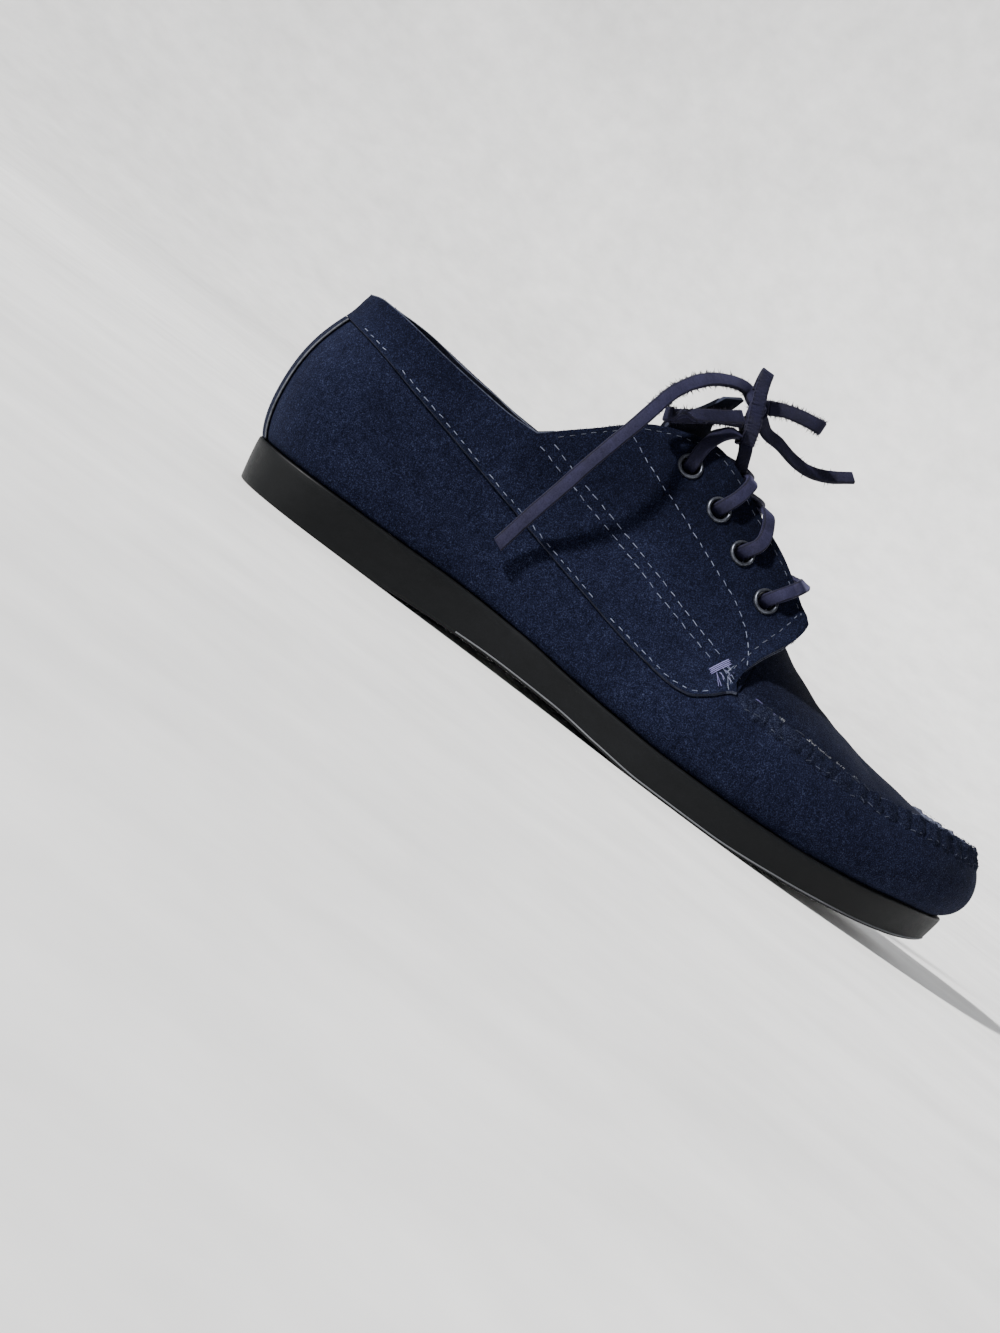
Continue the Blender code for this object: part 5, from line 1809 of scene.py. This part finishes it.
FLAP_SIZES = (1.9, 4.0, 0.12)  # length, pitch and radius of its stitches
LOWER_SIZES = (1.9, 3.8, 0.13)  # and of the lower row's
LOWER_LEFT_OUT = (4, 5, 17, 33, 34)


def quarter_points(ts):
    """Points on the quarters' outside and the way out, at one height for each rear section."""
    at = (ts - 1) * (HIGH_ROWS - 1)
    j = np.clip(at, 0, HIGH_ROWS - 2).astype(int)
    f = (at - j)[:, None]
    k = np.arange(len(ts))
    return OVER_GRID[k, j] * (1 - f) + OVER_GRID[k, j + 1] * f, HIGH_NORMALS[k, j]


def edge_rows(side):
    """The rows that follow the flap's edge and the quarters' lower edge, on one side."""
    lengths = np.linalg.norm(np.diff(HIGH_GRID, axis=1), axis=2).sum(axis=1)
    xs = np.array([SECTIONS[i].x for i in REAR])
    here = np.array([SECTIONS[i].side == side for i in REAR])

    def between(start, end):
        """The rear sections of this side between two places, from the heel forwards."""
        members = np.where(here & (xs > start) & (xs < end))[0]
        return members[np.argsort(xs[members])]

    top = quarter_points(2 - EDGE_INSET / lengths)
    low = quarter_points(1 + OVERLAY_INSET / lengths)
    flap, lower = between(*FLAP_ROW), between(*LOWER_ROW)
    front = between(0.0, FLAP_TURN)[-1]
    heights = np.linspace(2 - EDGE_INSET / lengths[front], 1.12, 26)[1:]
    down = [quarter_points(np.full(len(REAR), t)) for t in heights]
    edge = [np.concatenate([top[n][flap], [pair[n][front] for pair in down]]) for n in (0, 1)]
    return edge, [column[lower] for column in low]


def machine_stitches():
    """All rows of pale machine stitches."""
    for side, name in ((-1, "lateral"), (1, "medial")):
        parts = []
        for seed, (row, sizes) in enumerate(STITCH_ROWS):
            found = [cast_side(x, z, side) for x, z in even(row, 0.8)]
            parts += stitch_row(*columns_of(found), *sizes, 100 + seed)
        edge, lower = edge_rows(side)
        parts += stitch_row(*lower, *LOWER_SIZES, 137, LOWER_LEFT_OUT)
        made(f"stitches_{name}", *joined(parts), [THREAD], "suede")
        faint = stitch_row(*edge, *FLAP_SIZES, 131)
        made(f"edge_stitches_{name}", *joined(faint), [THREAD_DIM], "suede")


TACK = np.array((175.2, 48.4))  # middle of the bar tack
TACK_ANGLE = 61.0         # off the shoe's length
TACK_LONG = 8.0
TACK_THREADS = 4
TACK_PITCH = 0.55
TACK_RADIUS = 0.17
LOOSE_ANGLES = (TACK_ANGLE, -32.0, -18.0, 20.0)
LOOSE_THREADS = 20
LOOSE_RADIUS = 0.09
LOOSE_AHEAD = (1.4, 7.6)  # how far ahead of the bar tack they lie
LOOSE_ABOVE = (-4.4, 1.4)  # and above it
LOOSE_HALF = (0.8, 2.3)   # half their length


def way_at(radians):
    """The way that lies at that angle on the shoe's side."""
    return np.array([math.cos(radians), math.sin(radians)])


def laid(parts, middle, half, side, radius, proud):
    """Adds one thread that lies on the shoe's side between two places, if there is leather."""
    found = [cast_side(*(middle + reach), side) for reach in (-half, half)]
    if None not in found:
        (start, start_out), (end, end_out) = found
        parts.append(dash(start, end, unit(start_out + end_out), radius, proud))


def tacks():
    """The satin bar tack at each flap's foot and the loose stitches ahead of it."""
    parts, pale = [], []
    way, off = way_at(math.radians(TACK_ANGLE)), way_at(math.radians(TACK_ANGLE + 90))
    for side in (-1, 1):
        pick = random.Random(5 + side)
        for k in range(TACK_THREADS):
            apart = (k - (TACK_THREADS - 1) / 2) * TACK_PITCH
            middle = TACK + off * apart + way * pick.uniform(-0.4, 0.4)
            laid(parts, middle, way * TACK_LONG / 2, side, TACK_RADIUS, 1.3)
        for k in range(LOOSE_THREADS):
            middle = TACK + (pick.uniform(*LOOSE_AHEAD), pick.uniform(*LOOSE_ABOVE))
            turn = math.radians(pick.choice(LOOSE_ANGLES) + pick.gauss(0, 14))
            half = way_at(turn) * pick.uniform(*LOOSE_HALF)
            laid(pale if k % 3 else parts, middle, half, side, LOOSE_RADIUS, 1.1)
    made("bar_tacks", *joined(parts), [TACK_THREAD], "suede")
    made("tack_ends", *joined(pale), [THREAD], "suede")


# The hand-sewn row inside the seam and the raw edges that show along its gathers: distance inwards
# from the seam's middle, length, pitch, radius, seed and which are left out.
SEAM_ROW = (5.2, 4.4, 7.6, 0.36, 201, ())
SEAM_FOLDS = ((3.6, 4.2, 5.2, 0.17, 211, (3, 7, 8, 15, 22, 29)),
              (-2.6, 1.9, 4.4, 0.16, 212, (2, 5, 6, 11, 17, 18, 24, 33, 34)))
SEAM_HOVER = 9.0          # how far outside the seam the rays that look for it begin


def seam_row(axes, ends, leans, sizes, stray):
    """A row of stitches that follows the seam, each place leaning that much more inwards."""
    line, across, proud = axes
    offset, length, pitch, radius, seed, skip = sizes
    found = []
    for k in range(ends, len(line) - ends):
        start = line[k] + across[k] * (offset + leans[k]) + proud[k] * SEAM_HOVER
        hit = cast(start, -proud[k])
        found.append(hit and (hit[0], proud[k]))
    return stitch_row(*columns_of(found), length, pitch, radius, seed, skip, stray)


def seam_stitches():
    """The hand-sewn stitches along the gathered seam and the raw edges among them."""
    line, ahead, _ = ring_line(1.0)
    axes = (line, *band_axes(ahead))
    k = np.arange(len(line))
    made("seam_stitches", *joined(seam_row(axes, 6, 0 * k, SEAM_ROW, 0.25)), [CORD_THREAD], "suede")
    folds = []
    for sizes in SEAM_FOLDS:
        leans = 0.5 * np.sin(k * 0.37 + sizes[4]) + 0.35 * np.sin(k * 0.91)
        folds += seam_row(axes, 4, leans, sizes, 0.5)
    made("seam_folds", *joined(folds), [FOLD], "suede")


COLLAR_FRONT = 84.0       # where the painted highlight along the collar's edge ends
COLLAR_HIGHLIGHT_RADIUS = 0.24
COLLAR_HIGHLIGHT_SUNK = 0.12        # how far below the quarters' outside its middle lies


def collar_highlight():
    """A painted highlight: a pale line along the collar's folded upper edge."""
    high = (OVER_SHIFT[:, -1] - COLLAR_HIGHLIGHT_SUNK)[:, None]
    edge = HIGH_GRID[:, -1] + HIGH_NORMALS[:, -1] * high
    line = edge[edge[:, 0] < COLLAR_FRONT]
    highlight_tube = tube(line, [(0, 0, 1)] * len(line), circle(COLLAR_HIGHLIGHT_RADIUS, 6))
    made("collar_highlight", *highlight_tube, [FOLD], "suede")


machine_stitches()
collar_highlight()
tacks()
seam_stitches()


# ---------------------------------------------------------------- loose fibres


def hair(root, way, length, width, bend):
    """One tapering fibre."""
    side = unit(np.cross(way, bend) + 1e-6)
    tip = root + way * length + bend * length * 0.35
    middle = root + way * length * 0.55 + bend * length * 0.08
    a, b = root + side * width, root - side * width
    c = root + unit(np.cross(side, way)) * width
    m = [p + (middle - root) - (p - root) * 0.35 for p in (a, b, c)]
    points = [a, b, c, *m, tip]
    faces = [(0, 1, 4, 3), (1, 2, 5, 4), (2, 0, 3, 5), (3, 4, 6), (4, 5, 6), (5, 3, 6)]
    return points, faces


def fuzz(line, ways, count, length, seed, spread, width):
    """Fibres along a line of points, roughly the ways given."""
    pick = random.Random(seed)
    parts = []
    for _ in range(count):
        at = pick.uniform(0, len(line) - 1.001)
        k, f = int(at), at % 1
        root = line[k] * (1 - f) + line[k + 1] * f
        stray = np.array([pick.gauss(0, 1) for _ in range(3)])
        way = unit(unit(ways[k]) + stray * spread * 0.5)
        bend = unit(np.array([pick.gauss(0, 1) for _ in range(3)]))
        parts.append(hair(root - way * 0.15, way, length * pick.uniform(0.35, 1.25), width, bend))
    return parts


HAIR_INSIDE = 0.2         # how far inside a lace's edge its fibres are rooted

# How much of each stretch is napped, from the knot outwards, and fibres per mm of each edge.
NAPPED = {
    "lace_end_long": (0.50, 2.6),
    "lace_end_short": (0.95, 0.8),
    "lace_loop_front": (1.0, 3.0),
    "lace_loop_back": (1.0, 2.8),
    "lace_bight": (0.14, 1.5),
}


def lace_fuzz():
    """Nap along the cut edges of the bow."""
    parts = []
    for seed, (name, line) in enumerate(BOW_LINES.items()):
        ways = np.array(BOW_FACES[name], float)
        ways = read_at(np.linspace(0, 1, len(line)), np.linspace(0, 1, len(ways)), ways)
        _, side = strip_axes(line, ways)
        long = run_along(line)[-1]
        share, dense = NAPPED[name]
        last = max(4, int(len(line) * share))
        for sign in (-1, 1):
            edge = (line + side * sign * (LACE_WIDE / 2 - HAIR_INSIDE))[:last]
            parts += fuzz(edge, (side * sign)[:last], int(long * share * dense), length=1.6,
                          seed=300 + 7 * seed + sign, spread=1.2, width=0.17)
    made("lace_fibres", *joined(parts), [LACE_HAIR], "lace_leather")


# Where the seam's inner edge is frayed to its pale core: place, reach each way and fibres.
FRAYED = ((196.5, 0.7, 5), (203.0, 1.8, 16), (208.0, 1.0, 5), (215.5, 2.6, 30), (222.0, 3.4, 26),
          (229.0, 2.0, 10), (236.0, 1.6, 7), (247.0, 2.0, 6))


def edge_fuzz():
    """Nap along the leather's cut edges and on the toe, where it stands out against the light."""
    parts = []
    top = HIGH_GRID[:, -1] + HIGH_NORMALS[:, -1]
    up = unit_rows(HIGH_GRID[:, -1] - HIGH_GRID[:, -2])
    parts += fuzz(top, up + HIGH_NORMALS[:, -1] * 0.4, 1300, length=0.75, seed=401, spread=1.2,
                  width=0.13)
    forward = np.tile([1.0, 0.0, -0.2], (HIGH_ROWS, 1))
    for end, seed in ((-1, 402), (0, 403)):
        parts += fuzz(HIGH_GRID[end] + HIGH_NORMALS[end], forward, 120, length=0.9, seed=seed,
                      spread=1.2, width=0.13)
    line, ahead, x = ring_line(0.8)
    across, proud = band_axes(ahead)
    crest = line - ahead * 0.5 + across * (BAND_HALF * 0.93) + proud * 1.6
    parts += fuzz(crest[8:-8], (across + proud * 0.8)[8:-8], 900, length=0.6, seed=404,
                  spread=1.6, width=0.05)
    low = line - ahead * 0.5 - across * (BAND_HALF * 0.9) + proud * 0.9
    parts += fuzz(low[8:-8], (proud - across * 0.6)[8:-8], 500, length=0.6, seed=405,
                  spread=1.6, width=0.05)
    pale = []
    pick = random.Random(409)
    for place, reach, count in FRAYED:
        for side in (-1, 1):
            near = np.where((np.abs(x - place) < reach) & (np.sign(line[:, 1]) == side))[0]
            if len(near) > 3:
                pale += fuzz(crest[near], across[near] + proud[near] * 0.5, count, length=0.9,
                             seed=pick.randrange(9999), spread=1.5, width=0.10)
    made("frayed_edge", *joined(pale), [EDGE_PALE], "suede")
    made("leather_fibres", *joined(parts), [SUEDE_WORN], "suede")


lace_fuzz()
edge_fuzz()
